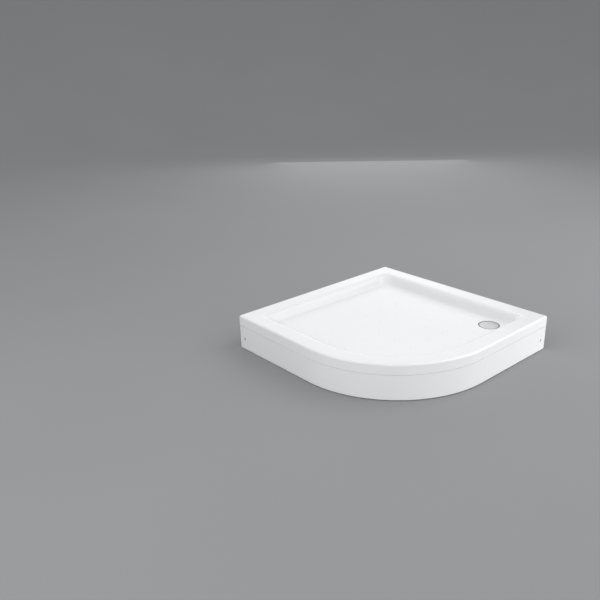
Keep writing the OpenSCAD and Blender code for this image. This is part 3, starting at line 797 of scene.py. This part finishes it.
def on_front(spot):
    """Whether a spot lies on the outline's two open sides or on the rounded corner."""
    beyond = spot - ARC_CENTRE
    if beyond.x > 0 and beyond.y < 0:
        return True
    edge = HALF_SIDE - NEAR
    return spot.x > edge or spot.y < -edge


def bump_spots():
    """Where the low grip bumps stand: a grid that keeps clear of the walls and of the waste."""
    inset = RIM_WIDTH + WALL_RUN + BUMP_RADIUS / 2
    h = HALF_SIDE - inset
    for i in range(-3, 4):
        for j in range(-3, 4):
            spot = Vector((
                BUMP_MIDDLE[0] + i * BUMP_PITCH[0], BUMP_MIDDLE[1] + j * BUMP_PITCH[1], 0
            ))
            beyond = spot - ARC_CENTRE
            in_corner = beyond.x > 0 and beyond.y < 0
            if max(abs(spot.x), abs(spot.y)) > h:
                continue
            if in_corner and beyond.length > FRONT_RADIUS - inset:
                continue
            if (spot - WASTE).length <= RECESS_RADIUS + 2 * BUMP_RADIUS:
                continue
            if (spot - Vector((-h, h, 0))).length <= BACK_CORNER[1] / 2:
                continue
            yield spot


def grip_bump(spot, steps=5, sides=24):
    """Adds one low dome, open below, that runs out smoothly into the floor."""
    bpy.ops.mesh.select_all(action="DESELECT")
    foot = Vector((spot.x, spot.y, FLOOR_LOW))
    bpy.ops.mesh.primitive_circle_add(
        vertices=sides, radius=BUMP_RADIUS, fill_type="NOTHING", location=foot
    )
    radius, height = BUMP_RADIUS, 0.0
    for i in range(1, steps + 1):
        share = i / steps
        next_radius = BUMP_RADIUS * (1 - 0.65 * share)
        next_height = BUMP_HEIGHT * share * share * (3 - 2 * share)
        pull_edges(0, 0, next_height - height)
        widen(next_radius / radius, foot)
        radius, height = next_radius, next_height
    bpy.ops.mesh.edge_face_add()


def shell_sheet(bench):
    """The outer surface of the shell: apron, rounded front edge, rim, basin wall and floor."""
    # Rim and apron
    bench.outline(0, RIM_TOP, 0, 0)
    bench.pick("EDGE", lambda e: True)
    pull_edges(0, 0, APRON_BOTTOM - RIM_TOP)
    bench.pick(
        "EDGE",
        lambda e: all(v.co.z > RIM_TOP - NEAR for v in e.verts)
        and on_front((e.verts[0].co + e.verts[1].co) / 2),
    )
    bpy.ops.mesh.bevel(offset=FRONT_EDGE_RADIUS, segments=10, profile=0.5, affect="EDGES")
    bench.open_outline()

    # Basin wall
    rings = basin_levels()
    basin_ring(bench, *rings[0])
    bench.pick_open_edges(lambda spot: spot.z > RIM_TOP - NEAR)
    bpy.ops.mesh.fill(use_beauty=True)
    for inset, level in rings[1:]:
        basin_ring(bench, inset, level)
        bench.pick_open_edges(lambda spot: spot.z > APRON_BOTTOM + NEAR)
        bpy.ops.mesh.bridge_edge_loops()

    # Floor with its bumps, and the recess for the waste
    for spot in bump_spots():
        grip_bump(spot)
    bpy.ops.mesh.select_all(action="DESELECT")
    bpy.ops.mesh.primitive_circle_add(
        vertices=96, radius=RECESS_RADIUS, fill_type="NOTHING",
        location=(WASTE.x, WASTE.y, FLOOR_LOW),
    )
    bench.pick_open_edges(lambda spot: abs(spot.z - FLOOR_LOW) < NEAR)
    bpy.ops.mesh.fill(use_beauty=True)
    shape = bench.mesh()
    for vert in shape.verts:
        if vert.co.z < RIM_TOP and inset_of(vert.co) > RIM_WIDTH / 2:
            vert.co.z += rise(vert.co) * min(1, (RIM_TOP - vert.co.z) / BASIN_DEPTH)
    bmesh.update_edit_mesh(bench.piece.data)


def waste_recess(bench):
    """Takes the edge round the waste down to the recess floor and in to the hole."""
    bench.pick_open_edges(lambda spot: abs(math.dist(spot.xy, WASTE.xy) - RECESS_RADIUS) < NEAR)
    low = FLOOR_LOW + rise(WASTE + X * RECESS_RADIUS)
    pull_edges(0, 0, RECESS_FLOOR - low)
    pull_edges(0, 0, 0)
    widen(WASTE_HOLE_RADIUS / RECESS_RADIUS, WASTE)


def face_up(piece, spot):
    """Turns the faces over where the face nearest a spot looks down."""
    found, _, normal, _ = piece.closest_point_on_mesh(spot)
    if found and normal.z < 0:
        piece.data.flip_normals()


def tray_shell():
    with Bench("shell") as bench:
        shell_sheet(bench)
        waste_recess(bench)
        close_up()
    face_up(bench.piece, Vector((0, HALF_SIDE - RIM_WIDTH / 2, RIM_TOP)))
    thicken(bench.piece, SHELL_THICKNESS)
    soften_edges(bench.piece, SMALL_EDGE_RADIUS)
    return smooth(bench.piece)


# The front panel


def front_line(bench, inset, end, level):
    """Adds the line of the tray's front as a wire: open side, rounded corner and front side."""
    h = HALF_SIDE - inset
    bench.outline(inset, level, 0, 0)
    bench.open_outline()
    bench.pick("VERT", lambda v: (v.co - Vector((-h, h, level))).length < NEAR)
    bpy.ops.mesh.delete(type="VERT")
    bench.pick("VERT", lambda v: v.is_wire and v.co.y > h - NEAR)
    bpy.ops.transform.translate(value=(0, end - h, 0))
    bench.pick("VERT", lambda v: v.is_wire and v.co.x < NEAR - h)
    bpy.ops.transform.translate(value=(h - end, 0, 0))


def front_panel():
    with Bench("panel") as bench:
        front_line(bench, 0, PANEL_END, PANEL_BOTTOM)
        bench.pick("EDGE", lambda e: True)
        pull_edges(0, 0, PANEL_TOP - PANEL_BOTTOM)
        for normal in (Y, -X):
            bpy.ops.mesh.select_all(action="SELECT")
            bpy.ops.mesh.bisect(plane_co=normal * FLANGE_END, plane_no=normal)
        front_line(bench, PANEL_FLANGE, FLANGE_END, PANEL_TOP)
        bench.pick_open_edges(
            lambda spot: spot.z > PANEL_TOP - NEAR
            and max(spot.y, -spot.x) < FLANGE_END + NEAR
        )
        bpy.ops.mesh.bridge_edge_loops()
        close_up()
    face_up(bench.piece, Vector((HALF_SIDE - PANEL_FLANGE / 2, 0.2, PANEL_TOP)))
    thicken(bench.piece, PANEL_THICKNESS)
    soften_edges(bench.piece, SMALL_EDGE_RADIUS)
    at_screw = (SCREW_PLACE, X, 48)
    boss = lathe("boss", [(0, -9), (9.7, -9), (10.5, -8.2), (10.5, -3), (0, -3)], *at_screw)
    sink = lathe("sink", [(0, 1), (7.85, 1), (6.55, -0.3), (6.55, -5), (0, -5)], *at_screw)
    through = lathe("through", [(0, -4), (2.8, -4), (2.8, -10), (0, -10)], *at_screw)
    for form, way in ((boss, "UNION"), (sink, "DIFFERENCE"), (through, "DIFFERENCE")):
        for tool in copies(form, (Matrix(), TO_FRONT_SIDE)):
            combine(bench.piece, tool, way)
    return smooth(bench.piece)


# Feet, rails and battens


def foot_pads():
    """Round moulded pads, each with a cup for the stud and eight ribs on its cone."""
    pad = lathe("pad_moulding", [
        (0, 0), (28.6, 0), (29.6, 0.4), (30, 1.4), (30, 3.1), (29.5, 3.9), (28.4, 4.5),
        (14.4, 11), (13.3, 12), (13, 13.3), (13, 15), (12.7, 15.7), (12, 16),
        (5.9, 16), (5.3, 15.7), (5.05, 15.1), (5.05, 8), (0, 8),
    ], steps=72)
    slope = lathe("slope", [(0, -1), (29, -1), (29, 5.6), (13.4, 15), (0, 15)], steps=48)
    ribs = [block("rib", (11, -1.1, 1), (29.5, 1.1, 15.5), 0.3, 1)]
    ribs = copies(ribs[0], [turned_by(45 * turn) for turn in range(8)])
    pad = combine(pad, combine(join(*ribs), slope, "INTERSECT"), "UNION")
    return copies(smooth(pad), feet_moves())


def foot_studs():
    """Threaded studs with a hexagon for the spanner and a plain neck that turns in the pad."""
    stud = threaded_rod("threaded_stud", 6, 21.5, 94, 1.75, 0.95, 24)
    combine(stud, hexagon_bar("hexagon", 17, 16, 22), "UNION")
    neck = lathe("neck", [(0, 8), (4.2, 8), (5, 8.8), (5, 17), (0, 17)], steps=32)
    return copies(smooth(combine(stud, neck, "UNION")), feet_moves())


def feet_moves():
    return [moved(x, y, 0) for x, y in FEET]


def nuts(name, low, high):
    """Six hexagon nuts, one on each stud."""
    nut = hexagon_bar(name, 18, low, high)
    combine(nut, hole(6.05, low, high, chamfer=0.7))
    return join(*copies(smooth(nut), feet_moves()))


def rail(name, number):
    """A square steel tube with rounded corners, and its holes for the studs and the screws."""
    (left, y), (right, _) = FEET[2 * number], FEET[2 * number + 1]
    start, length = left - RAIL_OVERHANG, right - left + 2 * RAIL_OVERHANG
    corners = [
        (start, y + side, level)
        for side, level in (
            (-15, RAIL_BOTTOM), (15, RAIL_BOTTOM), (15, RAIL_TOP), (-15, RAIL_TOP)
        )
    ]
    tube = drawn_out(name, rounded(corners, 2.5, 4, True), (length, 0, 0), 1.5, -1)
    holes = [
        hole(radius, RAIL_BOTTOM, RAIL_TOP, Vector((x, y, 0)) * MM, Z, steps, chamfer)
        for radius, steps, chamfer, places in (
            (7, 32, 0.2, (left, right)), (2.3, 16, 0.1, rail_screw_places(number))
        )
        for x in places
    ]
    return smooth(combine(tube, join(*holes)))


def rail_screw_places(number):
    (left, _), (right, _) = FEET[2 * number], FEET[2 * number + 1]
    length = right - left + 2 * RAIL_OVERHANG
    return [left - RAIL_OVERHANG + length * share for share in (0.22, 0.5, 0.78)]


def batten_curve():
    """The batten behind the rounded corner, swept from its section."""
    with Bench("batten_bent") as bench:
        corners = [
            (415, 0, BATTEN_BOTTOM), (455, 0, BATTEN_BOTTOM),
            (455, 0, BATTEN_TOP), (415, 0, BATTEN_TOP),
        ]
        bench.profile([ARC_CENTRE + Vector(c) * MM for c in corners + corners[:1]])
        bpy.ops.mesh.select_all(action="SELECT")
        bpy.ops.mesh.remove_doubles(threshold=SAME)
        bpy.ops.mesh.spin(steps=40, angle=math.pi / 2, center=ARC_CENTRE, axis=Z)
        bpy.ops.mesh.select_all(action="SELECT")
        bpy.ops.mesh.fill_holes(sides=4)
        face_outwards()
    soften_edges(bench.piece, 1 * MM)
    return smooth(bench.piece)


def straight_batten(name, low, high):
    return smooth(block(name, (*low, BATTEN_BOTTOM), (*high, BATTEN_TOP), 1.2, 2))


# Sheet metal and screws


def pan_screw(name, length, shank, head, height, pitch):
    """A screw with its point up and the underside of its pan head, with a cross recess, at 0."""
    form = lathe(name, [
        (0, -height), (head * 0.5, -height * 0.97), (head * 0.8, -height * 0.82),
        (head * 0.95, -height * 0.55), (head, -height * 0.2), (head * 0.98, 0), (0, 0),
    ], steps=32)
    reach, deep = head * 0.55, height * 0.55
    for turn in (0, 1):
        slot = block("slot", (-reach, -0.45, -height - 1), (reach, 0.45, deep - height), 0.1, 1)
        slot.data.transform(turned_by(90 * turn))
        combine(form, slot)
    rod = threaded_rod("shank", shank, -height * 0.2, length, pitch, shank * 0.2, 16)
    return smooth(combine(form, rod, "UNION"))


def clips():
    """Five strips bent to hook under the panel's flange and to lie flat on the battens."""
    top = BATTEN_BOTTOM - CLIP_SHEET / 2
    path = [(-6, -12, 99.25), (-20.75, -12, 99.25), (-20.75, -12, top), (-44, -12, top)]
    clip = drawn_out("hanging_clip", rounded(path, 1.4, 5), (0, 24, 0), CLIP_SHEET, 0)
    combine(clip, hole(
        2.3, BATTEN_BOTTOM - CLIP_SHEET, BATTEN_BOTTOM, -X * (CLIP_SCREW_IN * MM), Z, 24, 0.05
    ))
    return join(*copies(smooth(clip), clip_moves()))


def clip_moves():
    at_side = moved(450, 220, 0)
    at_corner = [
        Matrix.Translation(ARC_CENTRE) @ turned_by(-a) @ moved(465, 0, 0) for a in (15, 45, 75)
    ]
    return at_corner + [at_side, TO_FRONT_SIDE @ at_side]


def brackets():
    """Angle brackets behind the panel's two ends, bent from sheet."""
    start = SCREW_ALONG - 15
    out, top = 440, BATTEN_BOTTOM - BRACKET_SHEET / 2
    path = [(out, start, 31), (out, start, top), (411, start, top)]
    bracket = drawn_out("end_bracket", rounded(path, 3, 6), (0, 30, 0), BRACKET_SHEET, 0)
    at_panel = Vector((0, SCREW_ALONG, SCREW_UP)) * MM
    at_batten = Vector((BRACKET_SCREW_OUT, SCREW_ALONG, 0)) * MM
    combine(bracket, hole(2.55, out - 1, out + 1, at_panel, X, 24, 0.05))
    combine(bracket, hole(
        2.3, BATTEN_BOTTOM - BRACKET_SHEET, BATTEN_BOTTOM, at_batten, Z, 24, 0.05
    ))
    return copies(smooth(bracket), (Matrix(), TO_FRONT_SIDE))


def caps():
    """Push-in caps with a slightly domed face, a soft edge and a skirt."""
    cap = turned("screw_cap", [
        (0, -0.3), (3.5, -0.36), (5.4, -0.55), (6.2, -0.8), (6.5, -1.3), (6.5, -4.6), (6.2, -5),
        (5.1, -5), (5.1, -1.9), (0, -1.9),
    ], SCREW_PLACE, X, 48)
    return copies(cap, (Matrix(), TO_FRONT_SIDE))


# The waste


def drain_cover():
    """Crowned disc with a rolled edge, on three short legs."""
    profile = [(0, 105.2), (39, 105.2), (40.9, 105.35), (41.5, 106), (41.3, 106.7), (40.7, 107.1)]
    crown = [(r, 108 - 0.85 * (r / 40.7) ** 2) for r in (38, 32, 25, 16, 7, 0)]
    disc = lathe("cover_disc", profile + crown, WASTE, steps=96)
    leg = lathe("leg", [(0, 100.5), (2.3, 100.5), (3, 101.2), (3, 106), (0, 106)], steps=24)
    for leg in copies(leg, round_the_waste(*COVER_LEGS)):
        combine(disc, leg, "UNION")
    return smooth(disc)


def round_the_waste(radius, angles):
    at_waste = Matrix.Translation(WASTE)
    return [at_waste @ turned_by(a) @ moved(radius, 0, 0) for a in angles]


def waste_flange():
    """The ring over the recess, its lip worn smooth, with a collar below and three screw holes."""
    ring = lathe("flange_ring", [
        (23.05, 79), (23.5, 78.5), (24.6, 78.5), (25.05, 79), (25.05, 97), (26, 98), (42.4, 98),
        (43, 98.6), (43, 99.6), (42.6, 100.2), (41.8, 100.5), (23.7, 100.5), (23.2, 100.3),
        (23.05, 99.8), (23.05, 79),
    ], WASTE, steps=96)
    for tool in copies(hole(2.8, 98, 100.5, steps=24), round_the_waste(*FLANGE_SCREWS)):
        combine(ring, tool)
    return smooth(ring)


def dip_tube():
    """The lift-out tube with its lip, the groove for its seal and a bar to grip it by."""
    tube = lathe("lift_out_tube", [
        (20.5, 25), (21, 24.5), (22.5, 24.5), (23, 25), (23, 89.5), (21.4, 89.5), (21.4, 92.7),
        (23, 92.7), (23, 100.5), (26.4, 100.5), (27, 101), (27, 101.9), (26.4, 102.5),
        (21.1, 102.5), (20.5, 101.9), (20.5, 25),
    ], WASTE, steps=96)
    x, y = WASTE.xy / MM
    bar = block("grip_bar", (x - 21.5, y - 2.5, 98.5), (x + 21.5, y + 2.5, 102.5), 0.9, 3)
    return smooth(combine(tube, bar, "UNION"))


def trap_body():
    """The trap's moulded cup with its clamping flange, three screw bosses and the outlet socket."""
    cup = lathe("trap_cup", [
        (0, 14), (39, 14), (41.6, 14.8), (43, 16.4), (43.5, 19), (43.5, 84.5), (44, 85.6),
        (45, 86), (49.4, 86), (50, 86.6), (50, 89.4), (49.4, 90), (0, 90),
    ], WASTE, steps=96)
    combine(cup, lathe("socket", [
        (0, 20), (23.3, 20), (23.3, 77.2), (22.5, 78), (0, 78),
    ], OUTLET, Y, 64), "UNION")
    cavity = lathe("cavity", [
        (0, 16.5), (37, 16.5), (39.8, 17.6), (41, 20.5), (41, 92), (0, 92),
    ], WASTE, steps=96)
    bosses = lathe("boss", [(0, 66), (5.6, 66), (6.625, 67), (6.625, 95), (0, 95)], steps=32)
    for boss in copies(bosses, round_the_waste(*FLANGE_SCREWS)):
        combine(cavity, boss)
    combine(cup, cavity)
    bores = lathe("bores", [
        (0, 36.5), (18, 36.5), (18, 56), (20.3, 56), (20.3, 77.4), (21.6, 79), (0, 79),
    ], OUTLET, Y, 64)
    combine(cup, bores)
    for tool in copies(hole(2.55, 71, 90, steps=24), round_the_waste(*FLANGE_SCREWS)):
        combine(cup, tool)
    return smooth(cup)


def outlet_nut():
    """The union nut with twelve rounded grips."""
    ring = lathe("union_nut", [
        (23.35, 57.4), (23.8, 57), (27.2, 57), (27.8, 57.6), (27.8, 85.4), (27.2, 86),
        (20.8, 86), (20.3, 85.5), (20.3, 83), (23.35, 83), (23.35, 57.4),
    ], OUTLET, Y, 96)
    grip = block("grip", (26.6, -2, 57.4), (29.3, 2, 85.6), 0.9, 3)
    lie = Matrix.Translation(OUTLET) @ turned_by(-90, "X")
    grips = copies(grip, [lie @ turned_by(30 * k) for k in range(12)])
    return smooth(combine(ring, join(*grips), "UNION"))


def outlet_pipe():
    """The waste pipe: a chamfered end, and a mark that shows how deep it sits."""
    return turned("waste_pipe", [
        (18, 56.4), (18.4, 56), (19.4, 56), (20, 56.8), (20, 86), (19.6, 86.2), (19.6, 86.8),
        (20, 87), (20, 158.6), (19, 160), (18.4, 160), (18, 159.6), (18, 56.4),
    ], OUTLET, Y, 96)


def seal(name, inner, outer, low, high, edge, centre=WASTE, axis=Z):
    return turned(name, band(inner, outer, low, high, edge), centre, axis, 96, 50)


# Stage


def studio_floor():
    """A round pale floor that curves up far behind the tray."""
    with Bench("studio_floor") as bench:
        bpy.ops.mesh.primitive_circle_add(vertices=96, radius=6, fill_type="NGON")
        radius, level = 6.0, 0.0
        for i in range(1, 9):
            angle = math.radians(75) * i / 8
            next_radius, next_level = 6 + 4 * math.sin(angle), 4 * (1 - math.cos(angle))
            bench.pick("EDGE", lambda e: e.is_boundary)
            pull_edges(0, 0, next_level - level)
            widen(next_radius / radius, (0, 0, 0))
            radius, level = next_radius, next_level
    make_active(bench.piece)
    bpy.ops.object.shade_smooth()
    bench.piece.data.materials.append(studio_floor_paint())
    return bench.piece


def soft_light(name, place, size, power):
    """A square lamp that looks at the tray. Its place: degrees round, degrees up, metres off."""
    around, up, distance = math.radians(place[0]), math.radians(place[1]), place[2]
    spot = distance * Vector((
        math.cos(around) * math.cos(up), math.sin(around) * math.cos(up), math.sin(up)
    ))
    light = bpy.data.lights.new(name, "AREA")
    light.size, light.energy = size, power
    lamp = bpy.data.objects.new(name, light)
    lamp.location = spot
    lamp.visible_camera = False
    lamp.rotation_euler = (Vector((0, 0, 0.1)) - spot).to_track_quat("-Z", "Y").to_euler()
    bpy.context.scene.collection.objects.link(lamp)
    return lamp


def studio_light(floor):
    """Soft lamps from above, and two low ones that light the tray's sides and not the floor."""
    world = bpy.data.worlds.new("soft_sky")
    world.use_nodes = True
    sky = world.node_tree.nodes["Background"]
    sky.inputs["Color"].default_value = (1, 1, 1, 1)
    sky.inputs["Strength"].default_value = 0.63
    bpy.context.scene.world = world
    bpy.context.scene.view_settings.view_transform = "Standard"
    soft_light("high_lamp", (60, 50, 4.0), 3.0, 41)
    soft_light("key_lamp", (30, 20, 4.0), 3.2, 22)
    soft_light("back_lamp", (135, 25, 4.5), 3.0, 14)
    soft_light("front_lamp", (-90, 30, 4.0), 3.0, 40)
    soft_light("lip_lamp", (135, 8, 4.5), 2.0, 7)
    unlit = bpy.data.collections.new("out_of_the_low_light")
    unlit.objects.link(floor)
    unlit.collection_objects[0].light_linking.link_state = "EXCLUDE"
    for name, around, power in (("low_lamp_right", 30, 14), ("low_lamp_front", -45, 6.5)):
        lamp = soft_light(name, (around, 2, 2.0), 0.3, power)
        lamp.light_linking.receiver_collection = unlit


def photo_camera():
    """The camera that the photograph was taken with, as its edges give it."""
    azimuth, elevation, roll = (math.radians(a) for a in (49.252, 21.712, -1.562))
    focal_px, middle_px, picture_px = 670.55, (311.08, 302.80), 600
    aim, distance = Vector((-624.47 * MM, 102.17 * MM, 1.5 * MM)), 3345.46 * MM
    back = Vector((
        math.sin(azimuth) * math.cos(elevation),
        -math.cos(azimuth) * math.cos(elevation),
        math.sin(elevation),
    ))
    right = Vector((math.cos(azimuth), math.sin(azimuth), 0))
    up = back.cross(right)
    turned_right = right * math.cos(roll) + up * math.sin(roll)
    turned_up = up * math.cos(roll) - right * math.sin(roll)
    lens = bpy.data.cameras.new("photo_camera")
    lens.sensor_width = 36
    lens.lens = lens.sensor_width * focal_px / picture_px
    lens.shift_x = (picture_px / 2 - middle_px[0]) / picture_px
    lens.shift_y = (middle_px[1] - picture_px / 2) / picture_px
    camera = bpy.data.objects.new("photo_camera", lens)
    turn = Matrix((turned_right, turned_up, back)).transposed()
    camera.matrix_world = Matrix.Translation(aim + back * distance) @ turn.to_4x4()
    bpy.context.scene.collection.objects.link(camera)
    bpy.context.scene.camera = camera


# All of it


def finish_node(name, finish):
    """Gives a carried-over node a finish."""
    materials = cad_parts[name].data.materials
    if not materials:
        materials.append(finish)
    for slot in range(len(materials)):
        materials[slot] = finish


acrylic = glossy_acrylic()
panel_sheet = satin_panel()
cover_chrome = satin_chrome()
rubber_black = rubber()
zinc = zinc_sheet()
screw = plated_screw()
white_moulding = moulded_plastic("white_moulding", (0.78, 0.79, 0.79), (0.84, 0.85, 0.85), 0.35)
grey_moulding = moulded_plastic("grey_moulding", (0.4, 0.42, 0.44), (0.48, 0.5, 0.52), 0.35)
black_moulding = moulded_plastic("black_moulding", (0.022, 0.022, 0.024), (0.04, 0.04, 0.044), 0.42)
cap_moulding = moulded_plastic("cap_moulding", (0.38, 0.385, 0.39), (0.42, 0.425, 0.43), 0.35)
chrome = polished_chrome()

finish_node("glass_fibre_layer", glass_fibre())
finish_node("base_board", chipboard())

# The tray, its battens and its rails
along_x, along_y = sawn_timber("timber_along_x", "X"), sawn_timber("timber_along_y", "Y")
put_on(tray_shell(), "tray", acrylic, "white_acrylic", "tray_shell")
put_on(front_panel(), "tray", panel_sheet, "white_acrylic", "front_panel")
for side, low, high, grain in (
    ("back", (-440, 400), (440, 440), along_x), ("left", (-440, -440), (-400, 400), along_y),
    ("right", (400, 15), (440, 400), along_y), ("front", (-400, -440), (-15, -400), along_x),
):
    batten = straight_batten(f"batten_{side}", low, high)
    put_on(batten, "tray", grain, "timber", f"rim_batten_{side}")
put_on(batten_curve(), "tray", sawn_timber("timber_bent", "Z"), "timber", "rim_batten_curve")
for number, side in enumerate(("back", "middle", "front")):
    put_on(rail(f"tube_{side}", number), "tray", zinc, "zinc_steel", f"rail_{side}")

# Feet
for name, low, high, node in (
    ("welded_nut", WELD_NUT_BOTTOM, RAIL_BOTTOM, "weld_nuts"),
    ("locking_nut", LOCK_NUT_BOTTOM, WELD_NUT_BOTTOM, "lock_nuts"),
):
    put_on(nuts(name, low, high), "tray", screw, "screw_steel", node)
for number, (pad, stud) in enumerate(zip(foot_pads(), foot_studs()), 1):
    put_on(pad, f"pad_{number}", black_moulding, "black_plastic", f"foot_pad_{number}")
    put_on(stud, f"stud_{number}", screw, "screw_steel", f"foot_stud_{number}")

# What holds the panel
put_on(clips(), "tray", zinc, "zinc_steel", "panel_clips")
for bracket, side in zip(brackets(), ("right", "left")):
    put_on(bracket, "tray", zinc, "zinc_steel", f"panel_bracket_{side}")
for cap, side in zip(caps(), ("right", "left")):
    put_on(cap, f"cap_{side}", cap_moulding, "cap_plastic", f"screw_cap_{side}")

# Screws
rail_spots = [
    moved(x, FEET[2 * number][1], RAIL_BOTTOM)
    for number in range(3) for x in rail_screw_places(number)
]
clip_screw = moved(-CLIP_SCREW_IN, 0, BATTEN_BOTTOM - CLIP_SHEET)
clip_spots = [move @ clip_screw for move in clip_moves()]
bracket_spot = moved(BRACKET_SCREW_OUT, SCREW_ALONG, BATTEN_BOTTOM - BRACKET_SHEET)
bracket_spots = [bracket_spot, TO_FRONT_SIDE @ bracket_spot]
flange_screw_lies = moved(0, 0, 100.5) @ turned_by(180, "X")
flange_spots = [move @ flange_screw_lies for move in round_the_waste(*FLANGE_SCREWS)]
panel_spot = moved(445, SCREW_ALONG, SCREW_UP) @ turned_by(-90, "Y")
panel_spots = [panel_spot, TO_FRONT_SIDE @ panel_spot]
for node, slot, size, spots in (
    ("rail_screws", "screw_steel", (28.9, 2.25, 4.5, 2.5, 1.8), rail_spots),
    ("clip_screws", "screw_steel", (14, 2.25, 4.5, 2.5, 1.6), clip_spots),
    ("bracket_screws", "screw_steel", (14, 2.25, 4.5, 2.5, 1.6), bracket_spots),
    ("flange_screws", "polished_chrome", (20, 2.5, 4.5, 1.5, 1), flange_spots),
    ("panel_screws", "screw_steel", (16, 2.5, 4.3, 2.6, 0.9), panel_spots),
):
    screws = join(*copies(pan_screw(f"cross_{node}", *size), spots))
    put_on(screws, "tray", screw, slot, node)

# Waste and trap
put_on(drain_cover(), "cover", cover_chrome, "satin_chrome", "drain_cover")
put_on(waste_flange(), "tray", chrome, "polished_chrome", "waste_flange")
put_on(dip_tube(), "trap_insert", grey_moulding, "grey_plastic", "dip_tube")
put_on(trap_body(), "tray", white_moulding, "white_plastic", "trap_body")
put_on(outlet_nut(), "tray", white_moulding, "white_plastic", "outlet_nut")
put_on(outlet_pipe(), "tray", white_moulding, "white_plastic", "outlet_pipe")
for node, body, sizes in (
    ("upper_gasket", "tray", (39, 43, 96, 98, 0.6)),
    ("lower_gasket", "tray", (39, 50, 90, 92, 0.6)),
    ("dip_tube_seal", "trap_insert", (21.4, 23, 89.5, 92.7, 0.5)),
):
    put_on(seal(f"rubber_{node}", *sizes), body, rubber_black, "black_rubber", node)
put_on(
    seal("rubber_outlet_seal", 20, 23.3, 78, 83, 0.8, OUTLET, Y),
    "tray", rubber_black, "black_rubber", "outlet_seal",
)

studio_light(studio_floor())
photo_camera()
